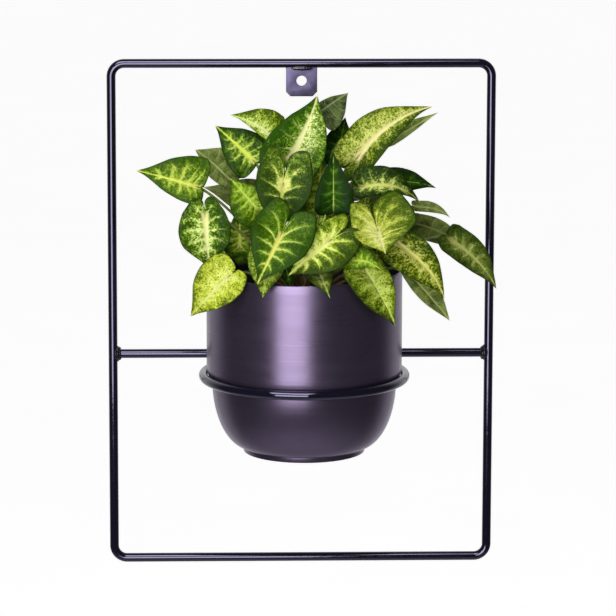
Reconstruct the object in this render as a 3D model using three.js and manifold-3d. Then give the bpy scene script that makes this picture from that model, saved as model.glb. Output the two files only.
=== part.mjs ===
// Wall planter: a rectangular frame bent from round rod, with a crossbar that
// carries a welded ring. A spun metal pot hangs in the ring by its shoulder, and
// a nursery pot with an arrowhead vine stands loose inside it.
//
// Millimetres. +X is to the right, +Y runs into the wall, +Z is up. The origin is
// the centre of the hanging hole, in the middle plane of the frame.

import * as THREE from 'three';
import { mergeVertices } from 'three/addons/utils/BufferGeometryUtils.js';
import Module from 'manifold-3d';

const wasm = await Module();
wasm.setup();

// ---------------------------------------------------------------------------
// Driving dimensions
// ---------------------------------------------------------------------------

const GAP = 0.3; // left between neighbouring pieces

// Frame
const FRAME_WIDTH = 300; // outside
const FRAME_HEIGHT = 398; // outside
const ROD_DIAMETER = 7;
const CORNER_RADIUS = 10; // on the rod's centre line
const HOLE_BELOW_TOP = 17; // hanging hole, from the frame's top edge
const CROSSBAR_BELOW_TOP = 230.8; // crossbar centre, from the same edge

// Hanger tab
const TAB_WIDTH = 24;
const TAB_THICKNESS = 3;
const TAB_BELOW_HOLE = 12; // bottom edge, from the hole's centre
const TAB_CHAMFER = 3.5;
const HOLE_DIAMETER = 8;

// Welds
const WELD_LEG = 2.4; // how far a bead stands out from the rods it joins
const RING_WELD_LENGTH = 26;
const TAB_WELD_LENGTH = 17;
const WELD_FLATNESS = 0.8; // height of a long bead over its leg

// Outer pot; heights are taken from the underside of its foot
const POT_HEIGHT = 140;
const POT_RADIUS = 73.9;
const POT_WAIST_RADIUS = 69.8;
const POT_SHOULDER_TOP = 66; // where the side starts to turn in above the ring
const POT_SHOULDER_HEIGHT = 10;
const POT_FOOT_RADIUS = 46;
const POT_FOOT_HEIGHT = 4.2;
const POT_WALL = 1.6;
const RING_SEAT = 1; // how far the pot's side overhangs the ring's inside
const BOWL_FULLNESS = [1.1, 0.95]; // powers that square the bowl's curve, out and down

// Nursery pot
const NURSERY_HEIGHT = 128;
const NURSERY_BASE_RADIUS = 42;
const NURSERY_TOP_RADIUS = 64;
const NURSERY_WALL = 1.2;
const NURSERY_LIP = 2.6;
const NURSERY_LIP_HEIGHT = 6;
const DRAIN_HOLES = 6;
const DRAIN_DIAMETER = 9;
const DRAIN_CIRCLE = 0.68; // of the base radius

// Potting soil and plant
const PLANT_WIDTH = 274; // over the tips of the leaves at either side
const PLANT_WIDTH_PARTS = 274; // the leaf table counts in these parts
const LEAVES_OVER_LIP = 10; // the table's zero height, at least this far over the lip
const SOIL_BELOW_LIP = 12;
const SOIL_CROWN = 5; // rise of the soil's middle over its edge
const CROWN_RADIUS = 16;
const CROWN_HEIGHT = 9;
const PETIOLE_DIAMETER = 2.6;
const STALK_ROOT = 0.7; // where the stalks leave the crown, of its radius
const STALK_SPREAD = 0.3; // how soon a stalk leans out, of its whole reach
const STALK_RISE = 0.6; // how long it stays upright, of its whole rise
const LOWEST_RISE = 12; // for the stalks of blades that hang low
const STALK_BEND_LENGTH = 10; // how far behind its blade a stalk turns towards it
const LEAF_THICKNESS = 0.8;

// ---------------------------------------------------------------------------
// Places that follow from them
// ---------------------------------------------------------------------------

const ROD_RADIUS = ROD_DIAMETER / 2;
const FRAME_TOP = HOLE_BELOW_TOP;
const TOP_RAIL_Z = FRAME_TOP - ROD_RADIUS;
const BOTTOM_RAIL_Z = FRAME_TOP - FRAME_HEIGHT + ROD_RADIUS;
const SIDE_RAIL_X = FRAME_WIDTH / 2 - ROD_RADIUS;
const CROSSBAR_Z = FRAME_TOP - CROSSBAR_BELOW_TOP;
const RING_RADIUS = POT_RADIUS - RING_SEAT + ROD_RADIUS; // on the rod's centre line
const RING_Y = -(ROD_DIAMETER + GAP + RING_RADIUS);

// Facets
const ROD_SIDES = 12;
const CORNER_STEPS = 7;
const RING_STEPS = 56;
const POT_SIDES = 48;
const NURSERY_SIDES = 40;
const DRILL_SIDES = 12;
const BOWL_STEPS = 9;
const SHOULDER_STEPS = 5;
const PETIOLE_SIDES = 5;
const PETIOLE_STEPS = 4;
const LUMP_SIDES = 16;
const LUMP_ROWS = 9;

// ---------------------------------------------------------------------------
// Solids
// ---------------------------------------------------------------------------

function solid(geometry) {
  const bare = geometry.clone();
  bare.deleteAttribute('normal');
  bare.deleteAttribute('uv');
  const merged = mergeVertices(bare, 1e-4);
  const vertProperties = new Float32Array(merged.attributes.position.array);
  const triVerts = new Uint32Array(merged.index.array);
  return new wasm.Manifold(new wasm.Mesh({ numProp: 3, vertProperties, triVerts }));
}

function geometryOf(manifold) {
  const mesh = manifold.getMesh();
  const geometry = new THREE.BufferGeometry();
  geometry.setAttribute('position', new THREE.BufferAttribute(mesh.vertProperties, 3));
  geometry.setIndex(new THREE.BufferAttribute(mesh.triVerts, 1));
  geometry.computeVertexNormals();
  return geometry;
}

// A straight round bar from one point to another.
function bar(from, to, radius, sides = ROD_SIDES) {
  const axis = new THREE.Vector3().subVectors(to, from);
  const geometry = new THREE.CylinderGeometry(radius, radius, axis.length(), sides);
  const turn = new THREE.Quaternion();
  turn.setFromUnitVectors(new THREE.Vector3(0, 1, 0), axis.clone().normalize());
  geometry.applyQuaternion(turn);
  geometry.translate(...from.clone().add(to).multiplyScalar(0.5).toArray());
  return geometry;
}

function ellipsoid(centre, radii) {
  const geometry = new THREE.SphereGeometry(1, LUMP_SIDES, LUMP_ROWS);
  geometry.scale(...radii);
  geometry.translate(...centre);
  return geometry;
}

// A profile of [radius, height] pairs, turned about the Z axis.
function turned(profile, sides) {
  const points = profile.map(([radius, height]) => new THREE.Vector2(radius, height));
  return new THREE.LatheGeometry(points, sides).rotateX(Math.PI / 2);
}

// The same profile moved inwards, square to itself.
function inside(profile, wall) {
  return profile.map(([radius, height], i) => {
    const before = profile[Math.max(i - 1, 0)];
    const after = profile[Math.min(i + 1, profile.length - 1)];
    const along = new THREE.Vector2(after[0] - before[0], after[1] - before[1]).normalize();
    return [radius - along.y * wall, height + along.x * wall];
  });
}

// ---------------------------------------------------------------------------
// Frame
// ---------------------------------------------------------------------------

// The closed rod: rings of points round a rectangle with bent corners.
function frameLoop(radius) {
  const corners = [
    [SIDE_RAIL_X, TOP_RAIL_Z, 0],
    [-SIDE_RAIL_X, TOP_RAIL_Z, 1],
    [-SIDE_RAIL_X, BOTTOM_RAIL_Z, 2],
    [SIDE_RAIL_X, BOTTOM_RAIL_Z, 3],
  ];
  const positions = [];
  for (const [x, z, quarter] of corners) {
    const centreX = x - Math.sign(x) * CORNER_RADIUS;
    const centreZ = z + (quarter < 2 ? -CORNER_RADIUS : CORNER_RADIUS);
    for (let step = 0; step <= CORNER_STEPS; step++) {
      const bend = (Math.PI / 2) * (quarter + step / CORNER_STEPS);
      for (let side = 0; side < ROD_SIDES; side++) {
        const round = (2 * Math.PI * side) / ROD_SIDES;
        const out = CORNER_RADIUS + radius * Math.cos(round);
        positions.push(
          centreX + out * Math.cos(bend),
          radius * Math.sin(round),
          centreZ + out * Math.sin(bend),
        );
      }
    }
  }
  const rings = positions.length / 3 / ROD_SIDES;
  const index = [];
  for (let ring = 0; ring < rings; ring++) {
    for (let side = 0; side < ROD_SIDES; side++) {
      const a = ring * ROD_SIDES + side;
      const b = ring * ROD_SIDES + ((side + 1) % ROD_SIDES);
      const c = ((ring + 1) % rings) * ROD_SIDES + side;
      const d = ((ring + 1) % rings) * ROD_SIDES + ((side + 1) % ROD_SIDES);
      index.push(a, b, c, c, b, d);
    }
  }
  const geometry = new THREE.BufferGeometry();
  geometry.setAttribute('position', new THREE.Float32BufferAttribute(positions, 3));
  geometry.setIndex(index);
  return geometry;
}

function crossbar(radius, reach = SIDE_RAIL_X - ROD_RADIUS - GAP) {
  const left = new THREE.Vector3(-reach, 0, CROSSBAR_Z);
  const right = new THREE.Vector3(reach, 0, CROSSBAR_Z);
  return bar(left, right, radius);
}

function potRing(radius) {
  const geometry = new THREE.TorusGeometry(RING_RADIUS, radius, ROD_SIDES, RING_STEPS);
  return geometry.translate(0, RING_Y, CROSSBAR_Z);
}

// A flat plate under the top rail, with cut corners, the hanging hole, and a top
// edge hollowed to the rod that it is welded to.
function hangerTab() {
  const half = TAB_WIDTH / 2;
  const outline = new THREE.Shape();
  outline.moveTo(-half, TOP_RAIL_Z);
  outline.lineTo(-half, -TAB_BELOW_HOLE + TAB_CHAMFER);
  outline.lineTo(-half + TAB_CHAMFER, -TAB_BELOW_HOLE);
  outline.lineTo(half - TAB_CHAMFER, -TAB_BELOW_HOLE);
  outline.lineTo(half, -TAB_BELOW_HOLE + TAB_CHAMFER);
  outline.lineTo(half, TOP_RAIL_Z);
  outline.closePath();
  const hole = new THREE.Path();
  hole.absarc(0, 0, HOLE_DIAMETER / 2, 0, 2 * Math.PI, true);
  outline.holes.push(hole);
  const plate = new THREE.ExtrudeGeometry(outline, {
    depth: TAB_THICKNESS,
    bevelEnabled: false,
    curveSegments: 16,
  });
  plate.rotateX(Math.PI / 2).translate(0, TAB_THICKNESS / 2, 0);
  const rail = bar(
    new THREE.Vector3(-TAB_WIDTH, 0, TOP_RAIL_Z),
    new THREE.Vector3(TAB_WIDTH, 0, TOP_RAIL_Z),
    ROD_RADIUS + GAP,
    2 * ROD_SIDES,
  );
  return solid(plate).subtract(solid(rail));
}

// A bead is a rounded lump with the rods that it joins, and their gap, cut away.
// Its middle lies near the line where they meet, so that only its outside is left.
function bead(centre, radii, neighbours) {
  return neighbours.reduce(
    (lump, neighbour) => lump.subtract(solid(neighbour)),
    solid(ellipsoid(centre, radii)),
  );
}

function crossbarWeld(side) {
  const centre = [side * (SIDE_RAIL_X - ROD_RADIUS), 0, CROSSBAR_Z];
  const reach = ROD_RADIUS + WELD_LEG;
  const radii = [1.6 * WELD_LEG, 0.86 * reach, 1.05 * reach];
  const neighbours = [frameLoop(ROD_RADIUS + GAP), crossbar(ROD_RADIUS + GAP, SIDE_RAIL_X)];
  return bead(centre, radii, neighbours);
}

function ringWeld(above) {
  const nip = -ROD_RADIUS - GAP / 2;
  const centre = [0, nip, CROSSBAR_Z + 0.75 * above * ROD_RADIUS];
  const radii = [RING_WELD_LENGTH / 2, WELD_LEG, WELD_FLATNESS * WELD_LEG];
  const neighbours = [potRing(ROD_RADIUS + GAP), crossbar(ROD_RADIUS + GAP)];
  return bead(centre, radii, neighbours);
}

function tabWeld(front) {
  const centre = [0, -0.55 * front * TAB_THICKNESS, TOP_RAIL_Z - ROD_RADIUS];
  const radii = [TAB_WELD_LENGTH / 2, 0.75 * WELD_LEG, WELD_FLATNESS * WELD_LEG];
  const tab = new THREE.BoxGeometry(TAB_WIDTH, TAB_THICKNESS + 2 * GAP, HOLE_BELOW_TOP);
  tab.translate(0, 0, TOP_RAIL_Z - HOLE_BELOW_TOP / 2);
  const neighbours = [frameLoop(ROD_RADIUS + GAP), tab];
  return bead(centre, radii, neighbours);
}

// ---------------------------------------------------------------------------
// Outer pot
// ---------------------------------------------------------------------------

// The bowl is a quarter of a slightly squared ellipse, from the foot to the waist.
const BOWL_TOP = POT_SHOULDER_TOP - POT_SHOULDER_HEIGHT;

function bowlProfile() {
  const points = [];
  const [outFullness, downFullness] = BOWL_FULLNESS;
  for (let step = 0; step <= BOWL_STEPS; step++) {
    const turn = (Math.PI / 2) * (1 - step / BOWL_STEPS);
    const out = (POT_WAIST_RADIUS - POT_FOOT_RADIUS) * Math.cos(turn) ** outFullness;
    const down = (BOWL_TOP - POT_FOOT_HEIGHT) * Math.sin(turn) ** downFullness;
    points.push([POT_FOOT_RADIUS + out, BOWL_TOP - down]);
  }
  return points;
}

function shoulderProfile() {
  const points = [];
  for (let step = 1; step <= SHOULDER_STEPS; step++) {
    const turn = (Math.PI / 2) * (step / SHOULDER_STEPS);
    const out = (POT_RADIUS - POT_WAIST_RADIUS) * Math.sin(turn);
    const up = POT_SHOULDER_HEIGHT * (1 - Math.cos(turn));
    points.push([POT_WAIST_RADIUS + out, BOWL_TOP + up]);
  }
  return points;
}

// The foot stands this far below the crossbar: the pot is let down until its
// shoulder lies on the ring, with the gap between them.
function seatedDrop() {
  const reach = ROD_RADIUS + GAP;
  const heights = shoulderProfile()
    .flatMap(([radius, height], i, all) => {
      const [nextRadius, nextHeight] = all[Math.min(i + 1, all.length - 1)];
      return [0, 0.25, 0.5, 0.75].map((t) => [
        THREE.MathUtils.lerp(radius, nextRadius, t),
        THREE.MathUtils.lerp(height, nextHeight, t),
      ]);
    })
    .filter(([radius]) => RING_RADIUS - radius < reach)
    .map(([radius, height]) => height - Math.sqrt(reach ** 2 - (RING_RADIUS - radius) ** 2));
  return Math.min(...heights);
}

const POT_FOOT_Z = CROSSBAR_Z - seatedDrop();
const RIM_Z = POT_FOOT_Z + POT_HEIGHT;

function outerPot() {
  const side = [...bowlProfile(), ...shoulderProfile(), [POT_RADIUS, POT_HEIGHT - POT_WALL / 2]];
  const lining = inside(side, POT_WALL).reverse();
  const floorRadius = POT_FOOT_RADIUS - POT_WALL;
  const profile = [
    [0, 0],
    [POT_FOOT_RADIUS, 0],
    ...side,
    [POT_RADIUS - POT_WALL / 4, POT_HEIGHT],
    [POT_RADIUS - (3 * POT_WALL) / 4, POT_HEIGHT],
    ...lining.slice(0, -1),
    [floorRadius, POT_FOOT_HEIGHT + POT_WALL],
    [floorRadius, POT_WALL],
    [0, POT_WALL],
  ];
  return turned(profile, POT_SIDES).translate(0, RING_Y, POT_FOOT_Z);
}

// ---------------------------------------------------------------------------
// Nursery pot and soil
// ---------------------------------------------------------------------------

const NURSERY_Z = POT_FOOT_Z + POT_WALL + GAP; // it stands on the outer pot's floor

function nurseryRadius(height) {
  return THREE.MathUtils.lerp(NURSERY_BASE_RADIUS, NURSERY_TOP_RADIUS, height / NURSERY_HEIGHT);
}

function nurseryPot() {
  const lipUnder = NURSERY_HEIGHT - NURSERY_LIP_HEIGHT;
  const profile = [
    [0, 0],
    [NURSERY_BASE_RADIUS - NURSERY_WALL, 0],
    [NURSERY_BASE_RADIUS, NURSERY_WALL],
    [nurseryRadius(lipUnder), lipUnder],
    [NURSERY_TOP_RADIUS + NURSERY_LIP, lipUnder],
    [NURSERY_TOP_RADIUS + NURSERY_LIP, NURSERY_HEIGHT - NURSERY_WALL / 2],
    [NURSERY_TOP_RADIUS + NURSERY_LIP - NURSERY_WALL / 2, NURSERY_HEIGHT],
    [NURSERY_TOP_RADIUS - NURSERY_WALL, NURSERY_HEIGHT],
    [NURSERY_BASE_RADIUS - NURSERY_WALL, NURSERY_WALL],
    [0, NURSERY_WALL],
  ];
  let pot = solid(turned(profile, NURSERY_SIDES));
  const radius = DRAIN_DIAMETER / 2;
  for (let hole = 0; hole < DRAIN_HOLES; hole++) {
    const around = (2 * Math.PI * hole) / DRAIN_HOLES;
    const out = NURSERY_BASE_RADIUS * DRAIN_CIRCLE;
    const drill = new THREE.CylinderGeometry(radius, radius, 4 * NURSERY_WALL, DRILL_SIDES);
    drill.rotateX(Math.PI / 2).translate(out * Math.cos(around), out * Math.sin(around), 0);
    pot = pot.subtract(solid(drill));
  }
  return pot.translate([0, RING_Y, NURSERY_Z]);
}

const SOIL_EDGE = NURSERY_HEIGHT - SOIL_BELOW_LIP; // height over the nursery pot's base
const SOIL_TOP_Z = NURSERY_Z + SOIL_EDGE + SOIL_CROWN;

function crown(grown = 0) {
  const radii = [CROWN_RADIUS + grown, CROWN_RADIUS + grown, CROWN_HEIGHT + grown];
  return ellipsoid([0, RING_Y, SOIL_TOP_Z], radii);
}

function pottingSoil() {
  const under = NURSERY_WALL + GAP;
  const clear = NURSERY_WALL + 1.1 * GAP; // the wall leans, so a little over the gap
  const edge = nurseryRadius(SOIL_EDGE) - clear;
  const profile = [
    [0, under],
    [nurseryRadius(under) - clear, under],
  ];
  for (const share of [1, 0.85, 0.6, 0.3, 0]) {
    profile.push([edge * share, SOIL_EDGE + SOIL_CROWN * (1 - share ** 2)]);
  }
  const soil = solid(turned(profile, NURSERY_SIDES).translate(0, RING_Y, NURSERY_Z));
  return soil.subtract(solid(crown(GAP)));
}

// ---------------------------------------------------------------------------
// Plant
// ---------------------------------------------------------------------------

// Each leaf: name, the point where its stalk joins the blade, the tip, the half
// widths left and right of the midrib (seen with the tip up), the length of the
// back lobes as a share of the blade, then turn, fold and arch of the blade, how
// far the midrib sways to the right, and how much fuller the blade is towards its
// tip. Points are measured from the rim's middle. The lengths are parts of
// PLANT_WIDTH, as in PLANT_WIDTH_PARTS.
const LEAVES = [
  ['left_outer', [-80, -12, 64], [-126, -6, 76], 14, 22, 0.12, 0, 12, 0.05, 0, 0, 'mid'],
  ['left_back', [-59, 10, 69], [-82, 18, 88], 11, 17, 0.3, 10, 16, 0.1, 0, 0.6, 'back'],
  ['left_upper', [-38, -2, 82], [-67, 14, 107], 17, 19, 0.12, 0, 12, 0.05, 0, 0, 'dark'],
  ['upper_small', [-25, -5, 101], [-56, -1, 117], 5, 17, 0.15, 0, 14, 0.08, 2, 0, 'lime'],
  ['top_centre', [-12, -14, 85], [10, 14, 130], 22, 23, 0.3, 0, 14, 0.08, 2, 0, 'mid'],
  ['top_folded', [11, 24, 115], [34, 34, 129], 6, 18, 0.1, 0, 22, 0.12, 0, 0, 'back'],
  ['right_upper', [39, -14, 86], [95, -8, 124], 20, 15, 0.25, 0, 14, 0.1, -6, 0.2, 'cream'],
  ['right_upper_back', [66, 6, 97], [101, 12, 117], 7, 4, 0.2, 0, 25, 0.05, 0, 0, 'back'],
  ['right_dark', [42, -26, 66], [86, -20, 53], 15, 9, 0.2, 0, 18, 0.12, -6, 0, 'dark'],
  ['right_behind', [61, -4, 66], [99, 2, 61], 11, 9, 0.2, 0, 16, 0.08, -2, 0, 'dark'],
  ['right_small', [85, 0, 47], [110, 4, 38], 5, 4, 0.2, 0, 20, 0.15, -2, 0.3, 'back'],
  ['right_middle', [85, 18, 31], [122, 32, 11], 10, 12, 0.2, 0, 14, 0.08, -2, 0.6, 'plain'],
  ['right_drooping', [111, 12, 20], [148, 32, -22], 14, 12, 0.14, 0, 12, 0.06, -3, 0.3, 'dark'],
  ['front_cream', [52, -66, 40], [57, -79, 25], 29, 18, 1.45, 0, 10, 0.04, 0, 0, 'cream'],
  ['right_lower', [67, -38, 26], [104, -30, -18], 15, 18, 0.35, 0, 14, 0.12, -4, 0.1, 'mid'],
  ['right_underside', [77, -24, 1], [109, -18, -37], 11, 8, 0.2, 0, 20, 0.06, 0, 1, 'back'],
  ['right_hanging', [42, -58, 11], [66, -54, -34], 16, 21, 0.2, -20, 14, 0.06, 0, 0.2, 'lime'],
  ['right_arched', [33, -67, 17], [55, -75, 11], 11, 7, 0.2, 0, 20, 0.08, -3, 0, 'lime'],
  ['centre_upright', [20, -46, 53], [20, -36, 95], 14, 15, 0.12, 0, 14, 0.05, 0, 0, 'plain'],
  ['centre_star', [-17, -43, 71], [-22, -54, 36], 21, 20, 0.75, 0, 12, 0.04, 0, 0, 'dark'],
  ['front_dark', [-19, -74, 39], [-37, -86, 4], 23, 21, 0.6, 0, 12, 0.06, 0, 0, 'dark'],
  ['left_lime', [-36, -22, 49], [-56, -14, 71], 19, 12, 0.3, 0, 14, 0.05, 0, 0.3, 'lime'],
  ['left_patterned', [-75, -38, 48], [-72, -36, 7], 21, 24, 0.32, 0, 16, 0.08, 0, 0.8, 'mid'],
  ['left_low', [-57, -54, 4], [-86, -44, -28], 17, 21, 0.25, 10, 14, 0.05, 0, 0.2, 'cream'],
  ['front_edge', [-29, -63, 27], [-33, -81, -7], 17, 16, 0.25, 0, 14, 0.05, 0, 0.7, 'mid'],
  ['front_low', [17, -68, 33], [-14, -74, 8], 22, 15, 0.55, 0, 14, 0.05, 0, 0.2, 'mid'],
  ['front_small', [7, -57, 34], [14, -54, 50], 9, 8, 0.3, 0, 10, 0.05, 0, 0.5, 'mid'],
  ['low_centre', [-16, -50, 13], [-12, -70, -5], 8, 8, 0.2, 0, 14, 0.08, 0, 0, 'plain'],
  ['low_right', [7, -52, 10], [16, -88, -6], 12, 12, 0.2, 0, 16, 0.06, 0, 0.4, 'plain'],
  ['top_back', [26, 26, 82], [32, 38, 110], 14, 12, 0.3, 0, 14, 0.06, 0, 0, 'plain'],
  ['inner_top', [11, -8, 40], [12, -2, 91], 18, 17, 0.3, 0, 12, 0.05, 0, 0, 'plain'],
  ['inner_right', [41, -8, 22], [47, 0, 64], 11, 14, 0.3, 0, 12, 0.05, 0, 0, 'plain'],
  ['inner_left', [-41, 12, 11], [-44, 20, 45], 13, 13, 0.3, 0, 12, 0.05, 0, 0, 'plain'],
  ['inner_low_left', [-49, -10, 18], [-49, -6, 44], 13, 13, 0.3, 0, 12, 0.05, 0, 0.3, 'plain'],
  ['back_left', [-38, 24, 50], [-76, 40, 56], 14, 14, 0.35, 170, 14, 0.1, 0, 0, 'mid'],
  ['back_upper', [-16, 36, 76], [-28, 58, 98], 15, 15, 0.35, 170, 14, 0.08, 0, 0, 'dark'],
  ['back_right', [46, 30, 48], [84, 46, 56], 16, 16, 0.35, 190, 14, 0.1, 0, 0, 'lime'],
  ['back_low_left', [-40, 46, 24], [-64, 66, -4], 16, 17, 0.4, 180, 14, 0.1, 0, 0, 'mid'],
  ['back_low_right', [36, 48, 26], [56, 66, -4], 15, 15, 0.4, 180, 14, 0.1, 0, 0, 'dark'],
  ['back_centre', [2, 40, 48], [4, 64, 28], 18, 18, 0.5, 180, 12, 0.08, 0, 0, 'mid'],
];

const LEAF_COLOURS = {
  dark: 0x2c5a22,
  mid: 0x5f8c2c,
  lime: 0x9dbb3c,
  cream: 0xb9c460,
  plain: 0x23501f,
  back: 0x66733f,
};

// Half of the outline, from the notch at the stalk round the lobe to the tip:
// across in half widths, along in blade lengths (negative along the lobe).
const MARGIN = new THREE.SplineCurve(
  [
    [0, 0],
    [0.3, -0.72],
    [0.72, -0.95],
    [1, -0.32],
    [1, 0.12],
    [0.82, 0.38],
    [0.5, 0.66],
    [0.18, 0.88],
    [0, 1],
  ].map(([across, along]) => new THREE.Vector2(across, along)),
);
const FULLNESS_PIVOT = 0.35; // the place along the blade that keeps its width
const LOBE_BOW = 0.4; // the back lobes bow less than the blade
const RIB_CROWDING = 1.7; // the rows meet the midrib closer together near the stalk
const BLADE_FACING = [0, -1, 0.3]; // into the room and a little upwards
const BLADE_ROWS = 8;
const BLADE_COLUMNS = [-1, -0.5, 0, 0.5, 1];

function leafAxes(leaf) {
  const along = new THREE.Vector3().subVectors(leaf.tip, leaf.joint).normalize();
  const facing = new THREE.Vector3(...BLADE_FACING);
  const face = facing.addScaledVector(along, -facing.dot(along)).normalize();
  face.applyAxisAngle(along, THREE.MathUtils.degToRad(leaf.turn));
  const across = new THREE.Vector3().crossVectors(along, face);
  return { along, face, across };
}

// A thin slab between an upper and a lower skin, closed round its margin.
function blade(leaf, thickness = LEAF_THICKNESS, grown = 0) {
  const { along, face, across } = leafAxes(leaf);
  const start = leaf.joint.clone().addScaledVector(along, -grown);
  const length = leaf.joint.distanceTo(leaf.tip) + 2 * grown;
  const slope = Math.tan(THREE.MathUtils.degToRad(leaf.fold));
  const skin = (height) => {
    const points = [];
    for (let row = 0; row <= BLADE_ROWS; row++) {
      const margin = MARGIN.getPoint(row / BLADE_ROWS);
      if (margin.y < 0) margin.y *= leaf.lobe;
      const rib = (row / BLADE_ROWS) ** RIB_CROWDING;
      const columns = row % BLADE_ROWS === 0 ? [0] : BLADE_COLUMNS;
      for (const column of columns) {
        const half = column < 0 ? leaf.left : leaf.right;
        const fuller = 1 + leaf.taper * (margin.y - FULLNESS_PIVOT);
        const x = column * margin.x * fuller * (half + grown);
        const y = THREE.MathUtils.lerp(rib, margin.y, Math.abs(column));
        const bow = y < 0 ? LOBE_BOW * y : y * (1 - y);
        const sway = y < 0 ? 0 : 4 * leaf.sway * bow;
        const rise = Math.abs(x) * slope + 4 * leaf.arch * length * bow;
        points.push(
          start
            .clone()
            .addScaledVector(along, y * length)
            .addScaledVector(across, x + sway)
            .addScaledVector(face, rise + height),
        );
      }
    }
    return points;
  };
  const upper = skin(thickness / 2);
  const lower = skin(-thickness / 2);
  const width = BLADE_COLUMNS.length;
  const at = (row, column) => {
    if (row === 0) return 0;
    if (row === BLADE_ROWS) return upper.length - 1;
    return 1 + (row - 1) * width + column;
  };
  const index = [];
  const under = upper.length;
  const quad = (a, b, c, d) => {
    if (a !== b) index.push(a, b, c);
    if (c !== d) index.push(a === b ? b : a, c, d);
  };
  for (let row = 0; row < BLADE_ROWS; row++) {
    for (let column = 0; column < width - 1; column++) {
      const [a, b] = [at(row, column), at(row, column + 1)];
      const [c, d] = [at(row + 1, column + 1), at(row + 1, column)];
      quad(a, b, c, d);
      quad(under + d, under + c, under + b, under + a);
    }
    const last = width - 1;
    const [left, leftNext] = [at(row, 0), at(row + 1, 0)];
    const [right, rightNext] = [at(row, last), at(row + 1, last)];
    quad(left, leftNext, under + leftNext, under + left);
    quad(rightNext, right, under + right, under + rightNext);
  }
  const geometry = new THREE.BufferGeometry();
  const positions = [...upper, ...lower].flatMap((point) => point.toArray());
  geometry.setAttribute('position', new THREE.Float32BufferAttribute(positions, 3));
  geometry.setIndex(index);
  return geometry;
}

// A stalk rises from the crown and meets its blade from behind.
function petiole(leaf) {
  const { along, face } = leafAxes(leaf);
  const root = new THREE.Vector3(0, RING_Y, SOIL_TOP_Z);
  const out = new THREE.Vector3(leaf.joint.x, leaf.joint.y - RING_Y, 0);
  root.addScaledVector(out.clone().normalize(), CROWN_RADIUS * STALK_ROOT);
  const rise = out.clone().multiplyScalar(STALK_SPREAD);
  rise.z = STALK_RISE * Math.max(leaf.joint.z - root.z, LOWEST_RISE);
  const behind = new THREE.Vector3().subVectors(along.clone().negate(), face);
  const arrive = leaf.joint.clone().addScaledVector(behind, STALK_BEND_LENGTH);
  const end = leaf.joint.clone().addScaledVector(behind, 1.5 * LEAF_THICKNESS);
  const path = new THREE.CubicBezierCurve3(root, root.clone().add(rise), arrive, end);
  const section = new THREE.Shape();
  for (let side = 0; side < PETIOLE_SIDES; side++) {
    const round = (2 * Math.PI * side) / PETIOLE_SIDES;
    const place = [Math.cos(round), Math.sin(round)].map((x) => (x * PETIOLE_DIAMETER) / 2);
    if (side === 0) section.moveTo(...place);
    else section.lineTo(...place);
  }
  section.closePath();
  return new THREE.ExtrudeGeometry(section, {
    steps: PETIOLE_STEPS,
    extrudePath: path,
  });
}

// The leaves clear whichever rim is higher.
const LEAVES_Z = Math.max(RIM_Z, NURSERY_Z + NURSERY_HEIGHT + LEAVES_OVER_LIP);
const LEAF_UNIT = PLANT_WIDTH / PLANT_WIDTH_PARTS;

function leafPoint(place) {
  return new THREE.Vector3(...place)
    .multiplyScalar(LEAF_UNIT)
    .add(new THREE.Vector3(0, RING_Y, LEAVES_Z));
}

const leaves = LEAVES.map((row) => {
  const [name, joint, tip, left, right, lobe, turn, fold, arch, sway, taper, colour] = row;
  return {
    name: `leaf_${name}`,
    joint: leafPoint(joint),
    tip: leafPoint(tip),
    left: left * LEAF_UNIT,
    right: right * LEAF_UNIT,
    lobe,
    turn,
    fold,
    arch,
    sway: sway * LEAF_UNIT,
    taper,
    colour,
  };
});

// The crown with every stalk, each cut back by the gap from its own blade.
function stems() {
  return leaves.reduce((clump, leaf) => {
    const room = solid(blade(leaf, LEAF_THICKNESS + 4 * GAP, 2 * GAP));
    return clump.add(solid(petiole(leaf)).subtract(room));
  }, solid(crown()));
}

// ---------------------------------------------------------------------------
// Assembly
// ---------------------------------------------------------------------------

const blackPaint = { color: 0x17131c, roughness: 0.32, metalness: 0.2 };
const tabPaint = { color: 0x37323f, roughness: 0.4, metalness: 0.2 };
const potPaint = { color: 0x2f2833, roughness: 0.45, metalness: 0.3 };
const liner = { color: 0x2a2a2b, roughness: 0.6, metalness: 0 };
const soilMix = { color: 0x2b1d14, roughness: 0.95, metalness: 0 };
const stalk = { color: 0x6f7a3a, roughness: 0.55, metalness: 0 };

const group = new THREE.Group();

function addPiece(name, shape, look) {
  const geometry = shape.isBufferGeometry ? shape : geometryOf(shape);
  const mesh = new THREE.Mesh(geometry, new THREE.MeshStandardMaterial(look));
  mesh.name = name;
  group.add(mesh);
}

addPiece('frame_loop', frameLoop(ROD_RADIUS), blackPaint);
addPiece('crossbar', crossbar(ROD_RADIUS), blackPaint);
addPiece('crossbar_weld_left', crossbarWeld(-1), blackPaint);
addPiece('crossbar_weld_right', crossbarWeld(1), blackPaint);
addPiece('pot_ring', potRing(ROD_RADIUS), blackPaint);
addPiece('ring_weld_upper', ringWeld(1), blackPaint);
addPiece('ring_weld_lower', ringWeld(-1), blackPaint);
addPiece('hanger_tab', hangerTab(), tabPaint);
addPiece('tab_weld_front', tabWeld(1), blackPaint);
addPiece('tab_weld_back', tabWeld(-1), blackPaint);
addPiece('outer_pot', outerPot(), potPaint);
addPiece('nursery_pot', nurseryPot(), liner);
addPiece('potting_soil', pottingSoil(), soilMix);
addPiece('stems', stems(), stalk);
for (const leaf of leaves) {
  const look = { color: LEAF_COLOURS[leaf.colour], roughness: 0.4, metalness: 0 };
  addPiece(leaf.name, blade(leaf), look);
}

export default group;
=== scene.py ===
# Looks of the wall planter: a black rod frame with a ring, a spun metal pot that
# hangs in the ring, and an arrowhead vine in its nursery pot.
import math
import random

import bmesh
import bpy
import numpy as np
from mathutils import Matrix, Vector, noise


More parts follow.
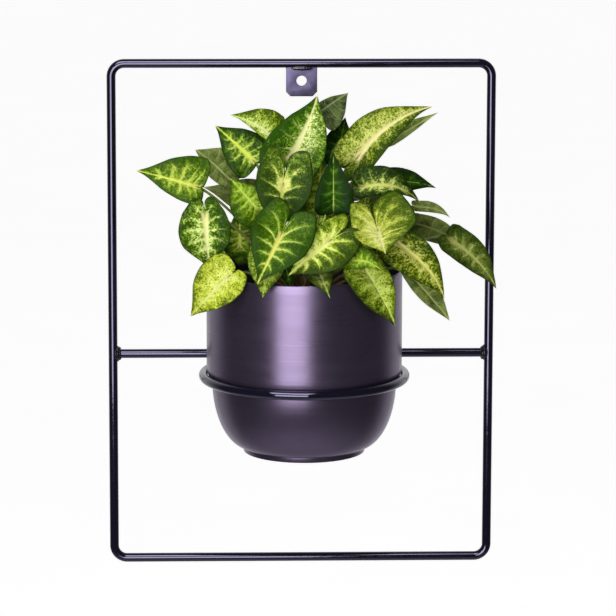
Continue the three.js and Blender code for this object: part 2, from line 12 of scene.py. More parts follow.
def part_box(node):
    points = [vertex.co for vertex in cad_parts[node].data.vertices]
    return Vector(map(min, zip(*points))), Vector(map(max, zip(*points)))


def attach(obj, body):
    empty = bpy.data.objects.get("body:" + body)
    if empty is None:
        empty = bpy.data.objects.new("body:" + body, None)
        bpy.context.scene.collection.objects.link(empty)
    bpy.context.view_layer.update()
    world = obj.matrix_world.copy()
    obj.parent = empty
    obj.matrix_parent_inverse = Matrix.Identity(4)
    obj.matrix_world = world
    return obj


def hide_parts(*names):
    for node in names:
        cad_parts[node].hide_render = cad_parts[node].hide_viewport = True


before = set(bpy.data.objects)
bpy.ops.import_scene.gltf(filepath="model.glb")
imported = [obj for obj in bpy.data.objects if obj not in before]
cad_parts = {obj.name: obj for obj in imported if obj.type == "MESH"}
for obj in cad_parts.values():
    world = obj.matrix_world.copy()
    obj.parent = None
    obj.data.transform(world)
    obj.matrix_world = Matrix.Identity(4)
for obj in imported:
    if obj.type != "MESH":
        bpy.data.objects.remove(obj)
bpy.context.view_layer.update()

# ---------------------------------------------------------------------------
# Sizes, in metres
# ---------------------------------------------------------------------------

MM = 0.001

# The camera, found from the photograph's frame corners, ring and pot
CAMERA_AT = (-0.0826, -2.8446, 0.3614)
CAMERA_YAW = 1.7711  # degrees to the right of +Y
CAMERA_PITCH = 10.7347  # degrees downwards
CAMERA_ROLL = -0.1363
CAMERA_LENS = 217.4

# Frame
CORNER_RADIUS = 10 * MM
TAB_CHAMFER = 3.5 * MM
TAB_HOLE_RADIUS = 4 * MM
RING_WELD_LENGTH = 26 * MM
TAB_WELD_LENGTH = 17 * MM

# Outer pot, heights from the underside of its foot
POT_WAIST_RADIUS = 69.8 * MM
POT_SHOULDER_TOP = 66 * MM
POT_SHOULDER_HEIGHT = 10 * MM
POT_FOOT_RADIUS = 46 * MM
POT_FOOT_HEIGHT = 4.2 * MM
POT_WALL = 1.6 * MM
BOWL_FULLNESS = (1.1, 0.95)

# Nursery pot
NURSERY_BASE_RADIUS = 42 * MM
NURSERY_TOP_RADIUS = 64 * MM
NURSERY_WALL = 1.2 * MM
NURSERY_LIP = 2.6 * MM
NURSERY_LIP_HEIGHT = 6 * MM
DRAIN_HOLES = 6
DRAIN_RADIUS = 4.5 * MM
DRAIN_CIRCLE = 0.68  # of the base radius

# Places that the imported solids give
crossbar_low, crossbar_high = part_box("crossbar")
loop_low, loop_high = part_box("frame_loop")
ring_low, ring_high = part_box("pot_ring")
tab_low, tab_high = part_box("hanger_tab")
pot_low, pot_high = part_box("outer_pot")
nursery_low, nursery_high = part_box("nursery_pot")
soil_low, soil_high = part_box("potting_soil")

ROD_RADIUS = (crossbar_high.z - crossbar_low.z) / 2
CROSSBAR_Z = (crossbar_high.z + crossbar_low.z) / 2
SIDE_RAIL_X = loop_high.x - ROD_RADIUS
TOP_RAIL_Z = loop_high.z - ROD_RADIUS
BOTTOM_RAIL_Z = loop_low.z + ROD_RADIUS
RING_RADIUS = (ring_high.x - ring_low.x) / 2 - ROD_RADIUS
POT_AXIS = Vector((0, (ring_high.y + ring_low.y) / 2, 0))
POT_FOOT = POT_AXIS + Vector((0, 0, pot_low.z))
RIM = POT_AXIS + Vector((0, 0, pot_high.z))
POT_RADIUS = (pot_high.x - pot_low.x) / 2
POT_HEIGHT = pot_high.z - pot_low.z
NURSERY_FOOT = POT_AXIS + Vector((0, 0, nursery_low.z))
NURSERY_HEIGHT = nursery_high.z - nursery_low.z

# ---------------------------------------------------------------------------
# Materials
# ---------------------------------------------------------------------------


def colour(text):
    """A web colour such as "#3a6b20" as linear red, green, blue and alpha."""
    shares = [int(text[i : i + 2], 16) / 255 for i in (1, 3, 5)]
    linear = [s / 12.92 if s <= 0.04045 else ((s + 0.055) / 1.055) ** 2.4 for s in shares]
    return (*linear, 1.0)


class Shade:
    """A material whose nodes are added by short calls that return output sockets."""

    def __init__(self, name):
        self.material = bpy.data.materials.new(name)
        self.material.use_nodes = True
        self.tree = self.material.node_tree
        self.surface = self.tree.nodes["Principled BSDF"]

    def node(self, kind, inputs, output=0, **settings):
        made = self.tree.nodes.new("ShaderNode" + kind)
        for name, value in settings.items():
            setattr(made, name, value)
        for name, value in inputs.items():
            self.feed(made.inputs[name], value)
        return made.outputs[output]

    def feed(self, socket, value):
        if isinstance(value, bpy.types.NodeSocket):
            self.tree.links.new(value, socket)
        else:
            socket.default_value = value

    def set(self, **values):
        for name, value in values.items():
            self.feed(self.surface.inputs[name.replace("_", " ")], value)
        return self

    def math(self, operation, *values):
        return self.node("Math", dict(enumerate(values)), operation=operation)

    def add(self, *values):
        total = values[0]
        for value in values[1:]:
            total = self.math("ADD", total, value)
        return total

    def times(self, a, b):
        return self.math("MULTIPLY", a, b)

    def minus(self, a, b):
        return self.math("SUBTRACT", a, b)

    def step(self, value, low, high, start=0.0, end=1.0):
        """From start to end, smoothly, as value goes from low to high."""
        inputs = {0: value, 1: low, 2: high, 3: start, 4: end}
        return self.node("MapRange", inputs, interpolation_type="SMOOTHSTEP")

    def mix(self, share, a, b):
        return self.node("Mix", {0: share, 6: a, 7: b}, 2, data_type="RGBA")

    def ramp(self, value, tones):
        """Colours, spread evenly over values from 0 to 1."""
        made = self.tree.nodes.new("ShaderNodeValToRGB")
        self.feed(made.inputs[0], value)
        elements = made.color_ramp.elements
        elements[0].color, elements[1].color = tones[0], tones[-1]
        for i, tone in enumerate(tones[1:-1], 1):
            elements.new(i / (len(tones) - 1)).color = tone
        return made.outputs[0]

    def place(self):
        """The point on the piece, in metres, in the piece's own frame."""
        return self.node("TexCoord", {}, "Object")

    def stretched(self, vector, *scale):
        return self.node("VectorMath", {0: vector, 1: scale}, operation="MULTIPLY")

    def parts(self, vector):
        split = self.node("SeparateXYZ", {0: vector}).node
        return [split.outputs[i] for i in range(3)]

    def joined(self, x, y, z):
        return self.node("CombineXYZ", {0: x, 1: y, 2: z})

    def noise(self, vector, scale, detail=2.0, roughness=0.5, distortion=0.0):
        inputs = {
            "Vector": vector,
            "Scale": scale,
            "Detail": detail,
            "Roughness": roughness,
            "Distortion": distortion,
        }
        return self.node("TexNoise", inputs)

    def cells(self, vector, scale, output="Distance", **settings):
        return self.node("TexVoronoi", {"Vector": vector, "Scale": scale}, output, **settings)

    def attribute(self, name):
        return self.node("Attribute", {}, "Vector", attribute_name=name)

    def bump(self, height, distance, strength=1.0, under=None):
        inputs = {"Height": height, "Distance": distance, "Strength": strength}
        if under is not None:
            inputs["Normal"] = under
        return self.node("Bump", inputs)


def gloss_black():
    """Thick gloss black paint on rod, with a little orange peel and a violet cast."""
    shade = Shade("gloss_black_paint")
    place = shade.place()
    peel = shade.noise(place, 420, 2)
    drift = shade.noise(place, 45, 3)
    body = shade.mix(drift, colour("#090712"), colour("#120e20"))
    shade.set(
        Base_Color=body,
        Roughness=shade.step(drift, 0.3, 0.7, 0.05, 0.11),
        IOR=1.75,
        Specular_Tint=colour("#d8d0ff"),
        Normal=shade.bump(peel, 0.04 * MM, 0.35),
        Coat_Weight=0.3,
        Coat_Roughness=0.04,
    )
    return shade.material


def weld_black():
    """The same paint over a rough weld bead."""
    shade = Shade("weld_black_paint")
    place = shade.place()
    grains = shade.cells(place, 900)
    lumps = shade.noise(place, 500, 3)
    shade.set(
        Base_Color=shade.mix(lumps, colour("#0b0910"), colour("#1b1626")),
        Roughness=shade.step(lumps, 0.3, 0.7, 0.16, 0.34),
        Normal=shade.bump(shade.add(grains, lumps), 0.12 * MM, 0.6),
    )
    shade.set(Coat_Weight=0.5)
    return shade.material


def tab_paint():
    """Thin violet-black paint on cut plate, brushed and pitted."""
    shade = Shade("tab_paint")
    place = shade.place()
    brushed = shade.noise(shade.stretched(place, 250, 250, 1400), 1, 4, 0.65)
    pits = shade.step(shade.cells(place, 700), 0.05, 0.3)
    drift = shade.noise(place, 180, 3)
    shade.set(
        Base_Color=shade.mix(drift, colour("#4d4460"), colour("#8279a0")),
        Metallic=0.75,
        Roughness=shade.step(drift, 0.3, 0.7, 0.36, 0.5),
        Normal=shade.bump(shade.add(brushed, pits), 0.06 * MM, 0.5),
    )
    return shade.material


def pot_paint():
    """Satin graphite paint with a violet cast over the fine rings of the spinning."""
    shade = Shade("satin_pot_paint")
    place = shade.place()
    rings = shade.noise(shade.stretched(place, 1.5, 1.5, 1100), 1, 3, 0.6)
    bands = shade.noise(shade.stretched(place, 3, 3, 150), 1, 2)
    grain = shade.noise(place, 1500, 2)
    cloud = shade.noise(place, 28, 3)
    rub = shade.math("MULTIPLY", cloud, bands)
    metal = shade.mix(cloud, colour("#62566e"), colour("#746782"))
    shade.set(
        Base_Color=metal,
        Metallic=0.9,
        Roughness=shade.step(shade.add(rings, rub), 0.5, 1.1, 0.27, 0.34),
        Normal=shade.bump(shade.add(rings, shade.times(grain, 0.35)), 0.03 * MM, 0.45),
    )
    return shade.material


def recycled_plastic():
    """Matte black plastic of a grow pot, with moulding streaks and dust."""
    shade = Shade("grow_pot_plastic")
    place = shade.place()
    streaks = shade.noise(shade.stretched(place, 40, 40, 220), 1, 4, 0.6)
    dust = shade.step(shade.noise(place, 70, 5, 0.7), 0.52, 0.75)
    plastic = shade.mix(streaks, colour("#17171a"), colour("#2b2b2e"))
    shade.set(
        Base_Color=shade.mix(shade.times(dust, 0.45), plastic, colour("#5c5348")),
        Roughness=shade.step(streaks, 0.3, 0.7, 0.5, 0.68),
        Normal=shade.bump(streaks, 0.08 * MM, 0.5),
    )
    return shade.material


def peat():
    """Dark potting soil."""
    shade = Shade("potting_soil")
    place = shade.place()
    crumbs = shade.cells(place, 480)
    fibre = shade.noise(place, 900, 5, 0.75)
    moist = shade.noise(place, 35, 3)
    dark = shade.mix(fibre, colour("#1d120b"), colour("#4a3220"))
    shade.set(
        Base_Color=shade.mix(shade.times(moist, 0.5), dark, colour("#2a1a10")),
        Roughness=shade.step(moist, 0.3, 0.7, 0.75, 0.98),
        Normal=shade.bump(shade.add(crumbs, fibre), 0.8 * MM, 0.9),
    )
    return shade.material


def perlite():
    """White puffed grains, dirty where they touch the soil."""
    shade = Shade("perlite")
    place = shade.place()
    pores = shade.noise(place, 1600, 4, 0.7)
    dirt = shade.step(shade.noise(place, 260, 3), 0.45, 0.75)
    shade.set(
        Base_Color=shade.mix(dirt, colour("#e9e6dc"), colour("#9b8c78")),
        Roughness=0.9,
        Normal=shade.bump(pores, 0.3 * MM, 0.8),
    )
    return shade.material


def stalk_skin():
    """Pale green stalks, browner and pinker towards the soil, finely ribbed."""
    shade = Shade("stalk_skin")
    place = shade.place()
    along = shade.parts(shade.attribute("stalk"))[0]
    ribs = shade.noise(shade.stretched(place, 1100, 1100, 120), 1, 3)
    flecks = shade.step(shade.cells(place, 700), 0.02, 0.25)
    fresh = shade.mix(ribs, colour("#5f7a2a"), colour("#93a24e"))
    old = shade.mix(ribs, colour("#6b4a35"), colour("#8f7350"))
    skin = shade.mix(shade.step(along, 0.05, 0.45), old, fresh)
    shade.set(
        Base_Color=shade.mix(shade.times(flecks, 0.8), colour("#4b5a26"), skin),
        Roughness=shade.step(ribs, 0.3, 0.7, 0.38, 0.55),
        Normal=shade.bump(ribs, 0.12 * MM, 0.6),
    )
    return shade.material


# Each look: the two greens of the ground, the light patches, the cream next to the
# midrib and the midrib itself; then how far the light reaches from the midrib (as a
# share of the half width), how much the side veins carry it outwards, how much cells
# and streaks break it up, dark specks in the light, the midrib's width in
# millimetres, how strongly side veins show as lines, how much lighter the right half
# is than the left, and how the light gains towards the tip.
LOOK_PARTS = (
    "dark mid light cream rib reach veins cells streaks specks rib_width lines lean tip"
).split()
LOOKS = {
    "outer": ("#304f04", "#5b7a15", "#90ab2d", "#cadc5e", "#d6e264",
              0.03, 0.6, 0.6, 0.7, 0.12, 2.4, 0.5, 0.0, -0.2),
    "dark_rib": ("#1f3c06", "#476615", "#86a332", "#c6da5e", "#cfe05a",
                 0.0, 0.6, 0.6, 0.7, 0.1, 3.0, 0.45, 0.0, -0.3),
    "lime": ("#2e4c03", "#668613", "#8fae27", "#b8d256", "#c2d860",
             -0.05, 0.45, 0.5, 1.0, 0.2, 1.5, 0.6, 0.1, 0.2),
    "speckled": ("#3c5203", "#86a020", "#b4cc45", "#e6f0a4", "#dce89a",
                 0.25, 0.2, 0.7, 0.6, 0.9, 2.2, 0.3, -0.25, 0.0),
    "top": ("#2a5006", "#5c821a", "#8cac36", "#e8f0a0", "#e8e8a4",
            0.03, 0.3, 1.0, 0.6, 0.4, 3.9, 0.3, 0.34, -0.1),
    "right_upper": ("#304606", "#748620", "#a4b43c", "#d4da78", "#e8e29c",
                    0.08, 0.3, 0.9, 0.5, 0.85, 3.8, 0.4, -0.3, 0.0),
    "curved": ("#182c04", "#3c5412", "#748a30", "#c8d478", "#d0d470",
               0.05, 0.5, 0.7, 1.0, 0.15, 2.2, 0.5, 0.05, 0.0),
    "drooping": ("#263a07", "#4a5c19", "#6c7c2b", "#a4b060", "#b4bc66",
                 0.08, 0.45, 0.5, 0.7, 0.1, 2.2, 0.4, 0.0, 0.1),
    "cream": ("#3e560a", "#86962a", "#b4be45", "#dade86", "#dcd894",
              0.16, 0.35, 0.5, 1.5, 0.15, 2.4, 0.5, 0.25, 0.0),
    "patched": ("#284003", "#62740f", "#a2ae31", "#d8de76", "#e2de80",
                0.05, 0.35, 1.0, 0.9, 0.25, 2.8, 0.3, 0.1, 0.0),
    "hanging": ("#2a3c05", "#6c8217", "#98ae2e", "#c8da66", "#d2e078",
                0.4, 0.5, 0.7, 1.2, 0.5, 1.4, 0.8, -0.15, -0.4),
    "plain": ("#122e03", "#274a06", "#3c620d", "#648436", "#a0b85a",
              -0.3, 0.45, 0.3, 0.6, 0.0, 0.8, 0.3, 0.0, 0.0),
    "star": ("#263e08", "#4c6616", "#86a032", "#e0e282", "#ccd266",
             -0.18, 0.6, 0.6, 0.5, 0.05, 2.2, 0.35, 0.0, -0.9),
    "front": ("#284804", "#52740c", "#86a42a", "#cede76", "#d6d868",
              -0.16, 0.7, 0.5, 0.5, 0.05, 3.2, 0.85, 0.0, -0.3),
    "patterned": ("#284604", "#567616", "#9aba3c", "#e4f09c", "#e6e89e",
                  0.0, 0.65, 0.9, 1.1, 0.15, 3.8, 0.8, 0.15, 0.0),
    "pale": ("#4a5c10", "#a4b42c", "#c6d246", "#e0ea82", "#dcdc8e",
             0.35, 0.25, 0.7, 0.7, 0.4, 1.8, 0.3, 0.0, -0.45),
    "edge": ("#3a5008", "#647c17", "#92aa31", "#c0d862", "#d0da78",
             0.3, 0.35, 1.0, 0.7, 0.4, 1.6, 0.3, 0.0, 0.0),
    "streaked": ("#304606", "#688015", "#aac03a", "#e2ee80", "#e6ea88",
                 0.15, 0.8, 0.5, 1.3, 0.25, 3.4, 0.85, 0.3, 0.0),
}
SIDE_VEINS = 8
VEIN_SWEEP = 0.09  # how far a side vein bends towards the tip at the margin
STAR_REACH = 0.24  # of the blade's length


def leaf_skin(name):
    """The upper side of a leaf. "vein" holds the place along the margin, the share of
    the way from midrib to margin, and the leaf's own number; "flat" holds the point
    on the flat blade in millimetres, across and along, and the blade's length."""
    look = dict(zip(LOOK_PARTS, LOOKS[name]))
    shade = Shade(f"leaf_{name}")
    row, side, seed = shade.parts(shade.attribute("vein"))
    across, along, length = shade.parts(shade.attribute("flat"))
    out = shade.math("ABSOLUTE", side)
    share = shade.math("DIVIDE", along, length)
    flat = shade.joined(across, along, shade.times(seed, 7.3))

    # Side veins run from the midrib to the margin, bending towards the tip.
    wander = shade.times(shade.minus(shade.noise(flat, 0.12), 0.5), 0.05)
    bend = shade.times(shade.times(out, out), VEIN_SWEEP)
    fan = shade.times(shade.add(shade.minus(row, bend), wander), SIDE_VEINS)
    off_vein = shade.minus(1, shade.math("ABSOLUTE", shade.minus(shade.times(
        shade.math("FRACT", fan), 2), 1)))
    beside_vein = shade.step(off_vein, 0.6, 0.0)
    line = shade.step(off_vein, shade.add(0.2, shade.times(out, -0.12)), 0.02)
    strength = shade.step(shade.noise(flat, 0.09), 0.35, 0.6, 0.25, 1.0)
    line = shade.times(shade.times(line, strength), shade.step(out, 0.95, 0.35))
    netting = shade.step(shade.cells(flat, 0.7, feature="DISTANCE_TO_EDGE"), 0.12, 0.02)

    # The light patches: a field that falls from the midrib outwards.
    cell = shade.parts(shade.cells(flat, 0.85, "Color"))[0]
    streak = shade.noise(shade.joined(shade.times(fan, 2.6), shade.times(out, 2.2), seed), 1, 3)
    patch = shade.noise(flat, 0.16, 2)
    sidelight = shade.times(shade.step(side, -0.25, 0.25, -1.0, 1.0), look["lean"])
    from_joint = shade.math("DIVIDE", shade.math("SQRT", shade.add(
        shade.times(across, across), shade.times(along, along))), length)
    field = shade.add(
        look["reach"],
        shade.times(shade.times(beside_vein, look["veins"]), shade.step(out, 1.0, 0.3)),
        shade.times(shade.minus(patch, 0.5), 1.1),
        shade.times(shade.minus(streak, 0.5), look["streaks"]),
        shade.times(share, look["tip"]),
        shade.times(out, -1.0),
        0.35,
        sidelight,
    )
    if name == "star":
        field = shade.add(field, shade.step(from_joint, STAR_REACH, 0.0, 0.0, 1.3))
    grain = shade.noise(flat, 1.3, 3, 0.6)
    broken = shade.add(
        field,
        shade.times(shade.minus(cell, 0.5), look["cells"]),
        shade.times(shade.minus(grain, 0.5), 0.9),
        shade.times(netting, 0.1),
    )
    tones = [colour(look[tone]) for tone in ("dark", "mid", "light", "cream")]
    skin = shade.ramp(shade.step(broken, -0.68, 0.95), tones)
    speck_size = shade.cells(shade.joined(across, along, shade.add(seed, 40)), 0.62)
    speck_pick = shade.parts(shade.cells(shade.joined(across, along, shade.add(seed, 40)), 0.62, "Color"))[1]
    specks = shade.times(
        shade.step(speck_size, 0.42, 0.2), shade.step(speck_pick, 1 - look["specks"], 1.05 - look["specks"])
    )
    skin = shade.mix(shade.times(specks, 0.85), skin, colour(look["dark"]))
    skin = shade.mix(shade.times(line, look["lines"]), skin, colour(look["cream"]))

    # The midrib narrows to the tip and is a little pink at the stalk.
    width = shade.step(share, 1.0, -0.1, 0.25 * look["rib_width"], look["rib_width"])
    ragged = shade.add(shade.math("ABSOLUTE", across), shade.times(shade.minus(streak, 0.5), 1.6))
    on_rib = shade.step(ragged, width, shade.times(width, 0.35))
    on_rib = shade.times(on_rib, shade.step(share, -0.06, 0.02))
    skin = shade.mix(on_rib, skin, colour(look["rib"]))
    blush = shade.times(shade.step(from_joint, 0.12, 0.0), 0.35)
    skin = shade.mix(shade.times(blush, on_rib), skin, colour("#d9a98a"))
    edge = shade.step(out, 0.955, 0.99)
    skin = shade.mix(shade.times(edge, 0.75), skin, colour("#1d3512"))

    relief = shade.add(
        shade.times(line, -1.0), shade.times(netting, -0.35), shade.times(streak, 0.3),
        shade.times(shade.noise(flat, 2.2, 3), 0.3),
    )
    shade.set(
        Base_Color=skin,
        Roughness=shade.step(shade.noise(flat, 0.5), 0.3, 0.7, 0.24, 0.42),
        Specular_IOR_Level=0.08,
        Normal=shade.bump(relief, 0.35 * MM, 0.75),
    )
    return shade.material


def leaf_underside(name, dark, pale, vein):
    """Grey-green, with raised lighter veins."""
    shade = Shade(f"leaf_{name}")
    row, side, seed = shade.parts(shade.attribute("vein"))
    across, along, length = shade.parts(shade.attribute("flat"))
    out = shade.math("ABSOLUTE", side)
    flat = shade.joined(across, along, shade.times(seed, 7.3))
    bend = shade.times(shade.times(out, out), VEIN_SWEEP)
    fan = shade.times(shade.minus(row, bend), SIDE_VEINS)
    off_vein = shade.minus(1, shade.math("ABSOLUTE", shade.minus(shade.times(
        shade.math("FRACT", fan), 2), 1)))
    line = shade.step(off_vein, 0.16, 0.02)
    rib = shade.step(shade.math("ABSOLUTE", across), 1.3, 0.4)
    veins = shade.math("MAXIMUM", shade.times(line, 0.6), rib)
    netting = shade.step(shade.cells(flat, 0.7, feature="DISTANCE_TO_EDGE"), 0.12, 0.02)
    blotch = shade.noise(flat, 0.18, 3)
    body = shade.mix(shade.step(blotch, 0.3, 0.7), colour(dark), colour(pale))
    body = shade.mix(shade.times(netting, 0.3), body, colour(vein))
    shade.set(
        Base_Color=shade.mix(veins, body, colour(vein)),
        Roughness=shade.step(blotch, 0.3, 0.7, 0.5, 0.62),
        Specular_IOR_Level=0.08,
        Normal=shade.bump(shade.add(veins, shade.times(netting, 0.3)), 0.3 * MM, 0.6),
    )
    return shade.material


# ---------------------------------------------------------------------------
# Meshes
# ---------------------------------------------------------------------------


def add_piece(name, vertices, faces, material, body, nodes=(), sharp=None):
    """A mesh piece that rides on a body and stands for CAD nodes."""
    mesh = bpy.data.meshes.new(name)
    mesh.from_pydata([tuple(v) for v in vertices], [], [tuple(f) for f in faces])
    weld_mesh(mesh)
    mesh.materials.append(material)
    mesh.shade_smooth()
    if sharp is not None:
        mesh.set_sharp_from_angle(angle=math.radians(sharp))
    piece = bpy.data.objects.new(name, mesh)
    return seat(piece, body, nodes)


def seat(piece, body, nodes):
    if piece.name not in bpy.context.scene.collection.objects:
        bpy.context.scene.collection.objects.link(piece)
    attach(piece, body)
    if nodes:
        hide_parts(*nodes)
    return piece


def weld_mesh(mesh):
    """Joins points that fall together and turns the faces outwards."""
    made = bmesh.new()
    made.from_mesh(mesh)
    bmesh.ops.remove_doubles(made, verts=made.verts, dist=1e-6)
    bmesh.ops.recalc_face_normals(made, faces=made.faces)
    made.to_mesh(mesh)
    made.free()


def grid_faces(rows, columns, closed_rows=False, closed_columns=True):
    """Quads between rows of points that are numbered row by row."""
    faces = []
    for row in range(rows if closed_rows else rows - 1):
        for column in range(columns if closed_columns else columns - 1):
            a = row * columns + column
            b = row * columns + (column + 1) % columns
            after = ((row + 1) % rows - row) * columns
            faces.append((a, b, b + after, a + after))
    return faces


def tube(path, radius, sides, closed=False, across=None):
    """Points and faces of a round tube along a path. Radius is a number or a list."""
    path = [Vector(p) for p in path]
    count = len(path)
    radii = radius if hasattr(radius, "__len__") else [radius] * count
    points = []
    for i, centre in enumerate(path):
        before = path[i - 1] if closed or i else centre
        after = path[(i + 1) % count] if closed or i < count - 1 else centre
        along = (after - before).normalized()
        if across is None:
            across = along.orthogonal()
        across = (across - along * across.dot(along)).normalized()
        other = along.cross(across)
        for side in range(sides):
            turn = 2 * math.pi * side / sides
            points.append(centre + radii[i] * (math.cos(turn) * across + math.sin(turn) * other))
    faces = grid_faces(count, sides, closed_rows=closed)
    if not closed:
        faces.append(tuple(range(sides))[::-1])
        faces.append(tuple(range((count - 1) * sides, count * sides)))
    return points, faces


def lathe(profile, foot, steps):
    """Points and faces of a closed profile of (radius, height), turned about foot."""
    points = []
    for radius, height in profile:
        for step in range(steps):
            turn = 2 * math.pi * step / steps
            points.append(foot + Vector((radius * math.cos(turn), radius * math.sin(turn), height)))
    return points, grid_faces(len(profile), steps)


def arc(centre, radius, start, end, steps):
    """Points in the XZ plane on an arc, angles in degrees."""
    points = []
    for step in range(steps + 1):
        turn = math.radians(start + (end - start) * step / steps)
        points.append(Vector((centre[0] + radius * math.cos(turn), 0, centre[1] + radius * math.sin(turn))))
    return points


def lump(centre, radii, rings, ripple, seed):
    """A weld bead: an ellipsoid with the scales that the weld pool leaves along X."""
    points = []
    for i in range(rings + 1):
        fall = math.pi * i / rings
        for j in range(rings):
            turn = 2 * math.pi * j / rings
            way = Vector(
                (math.cos(fall), math.sin(fall) * math.cos(turn), math.sin(fall) * math.sin(turn))
            )
            place = Vector([w * r for w, r in zip(way, radii)])
            scale = math.cos(place.x / ripple * 2 * math.pi + 0.8 * way.z)
            rough = noise.noise(place * 400 + Vector((seed, 0, 0)))
            points.append(Vector(centre) + place * (1 + 0.045 * scale + 0.08 * rough))
    return points, grid_faces(rings + 1, rings)


def ellipse_bowl(steps):
    """The bowl and the shoulder over it, from the foot upwards."""
    bowl_top = POT_SHOULDER_TOP - POT_SHOULDER_HEIGHT
    points = []
    for step in range(steps + 1):
        turn = math.pi / 2 * (1 - step / steps)
        out = (POT_WAIST_RADIUS - POT_FOOT_RADIUS) * math.cos(turn) ** BOWL_FULLNESS[0]
        down = (bowl_top - POT_FOOT_HEIGHT) * math.sin(turn) ** BOWL_FULLNESS[1]
        points.append((POT_FOOT_RADIUS + out, bowl_top - down))
    for step in range(1, steps // 2 + 1):
        turn = math.pi / 2 * step / (steps // 2)
        out = (POT_RADIUS - POT_WAIST_RADIUS) * math.sin(turn)
        up = POT_SHOULDER_HEIGHT * (1 - math.cos(turn))
        points.append((POT_WAIST_RADIUS + out, bowl_top + up))
    return points


def moved_in(profile, wall):
    """The profile moved inwards by the wall, square to itself."""
    moved = []
    for i, (radius, height) in enumerate(profile):
        before = Vector(profile[max(i - 1, 0)])
        after = Vector(profile[min(i + 1, len(profile) - 1)])
        along = (after - before).normalized()
        moved.append((radius - along.y * wall, height + along.x * wall))
    return moved


# ---------------------------------------------------------------------------
# Frame
# ---------------------------------------------------------------------------

ROD_SIDES = 32
BEND_STEPS = 16
EDGE_ROUNDING = 0.35 * MM


def make_frame():
    paint = gloss_black()
    beads = weld_black()
    corner_x = SIDE_RAIL_X - CORNER_RADIUS
    path = (
        arc((corner_x, TOP_RAIL_Z - CORNER_RADIUS), CORNER_RADIUS, 0, 90, BEND_STEPS)
        + arc((-corner_x, TOP_RAIL_Z - CORNER_RADIUS), CORNER_RADIUS, 90, 180, BEND_STEPS)
        + arc((-corner_x, BOTTOM_RAIL_Z + CORNER_RADIUS), CORNER_RADIUS, 180, 270, BEND_STEPS)
        + arc((corner_x, BOTTOM_RAIL_Z + CORNER_RADIUS), CORNER_RADIUS, 270, 360, BEND_STEPS)
    )
    points, faces = tube(path, ROD_RADIUS, ROD_SIDES, True, Vector((0, 1, 0)))
    add_piece("frame_rod", points, faces, paint, "frame", ["frame_loop"])

    ends = [Vector((crossbar_low.x, 0, CROSSBAR_Z)), Vector((crossbar_high.x, 0, CROSSBAR_Z))]
    points, faces = tube(ends, ROD_RADIUS, ROD_SIDES)
    add_piece("crossbar_rod", points, faces, paint, "frame", ["crossbar"], 40)

    ring = []
    for step in range(144):
        turn = 2 * math.pi * step / 144
        ring.append(POT_AXIS + Vector((RING_RADIUS * math.cos(turn), RING_RADIUS * math.sin(turn), CROSSBAR_Z)))
    points, faces = tube(ring, ROD_RADIUS, ROD_SIDES, True, Vector((0, 0, 1)))
    add_piece("ring_rod", points, faces, paint, "frame", ["pot_ring"])

    for name in ("crossbar_weld_left", "crossbar_weld_right", "ring_weld_upper", "ring_weld_lower",
                 "tab_weld_front", "tab_weld_back"):
        add_bead(name, beads)
    make_tab()


def add_bead(name, material):
    """A bead that fills the box of its solid."""
    low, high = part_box(name)
    centre, radii = (low + high) / 2, (high - low) / 2
    if name.startswith("crossbar"):
        side = math.copysign(1, centre.x)
        centre.x = side * (SIDE_RAIL_X - ROD_RADIUS)
        radii = Vector((3.6 * MM, radii.y, radii.z))
        ripple = 2.4 * MM
    else:
        centre.y += math.copysign(0.2 * radii.y, -centre.y) if "tab" in name else 0
        ripple = 2.1 * MM
    points, faces = lump(centre, radii, 40, ripple, len(name))
    add_piece(name + "_bead", points, faces, material, "frame", [name])


def make_tab():
    """A plate with cut corners and a hole, its edges a little rounded."""
    data = bpy.data.curves.new("tab_outline", "CURVE")
    data.dimensions = "2D"
    data.fill_mode = "BOTH"
    thick = tab_high.y - tab_low.y
    data.extrude = thick / 2 - EDGE_ROUNDING
    data.bevel_depth = EDGE_ROUNDING
    data.bevel_resolution = 3
    data.offset = -EDGE_ROUNDING
    half, foot, top = tab_high.x, tab_low.z, TOP_RAIL_Z - ROD_RADIUS + 0.6 * MM
    corners = [
        (-half, top), (-half, foot + TAB_CHAMFER), (-half + TAB_CHAMFER, foot),
        (half - TAB_CHAMFER, foot), (half, foot + TAB_CHAMFER), (half, top),
    ]
    steps = 48
    hole = [
        (TAB_HOLE_RADIUS * math.cos(2 * math.pi * i / steps), TAB_HOLE_RADIUS * math.sin(2 * math.pi * i / steps))
        for i in range(steps)
    ]
    for outline in (corners, hole):
        spline = data.splines.new("POLY")
        spline.points.add(len(outline) - 1)
        for point, (x, y) in zip(spline.points, outline):
            point.co = (x, y, 0, 1)
        spline.use_cyclic_u = True
    drawn = bpy.data.objects.new("tab_outline", data)
    bpy.context.scene.collection.objects.link(drawn)
    mesh = bpy.data.meshes.new_from_object(drawn.evaluated_get(bpy.context.evaluated_depsgraph_get()))
    bpy.data.objects.remove(drawn)
    mesh.transform(Matrix.Rotation(math.pi / 2, 4, "X"))
    weld_mesh(mesh)
    mesh.materials.clear()
    mesh.materials.append(tab_paint())
    mesh.shade_smooth()
    mesh.set_sharp_from_angle(angle=math.radians(35))
    mesh.name = "tab_plate"
    seat(bpy.data.objects.new("tab_plate", mesh), "frame", ["hanger_tab"])


# ---------------------------------------------------------------------------
# Pots and soil
# ---------------------------------------------------------------------------

POT_STEPS = 160
LIP_STEPS = 6


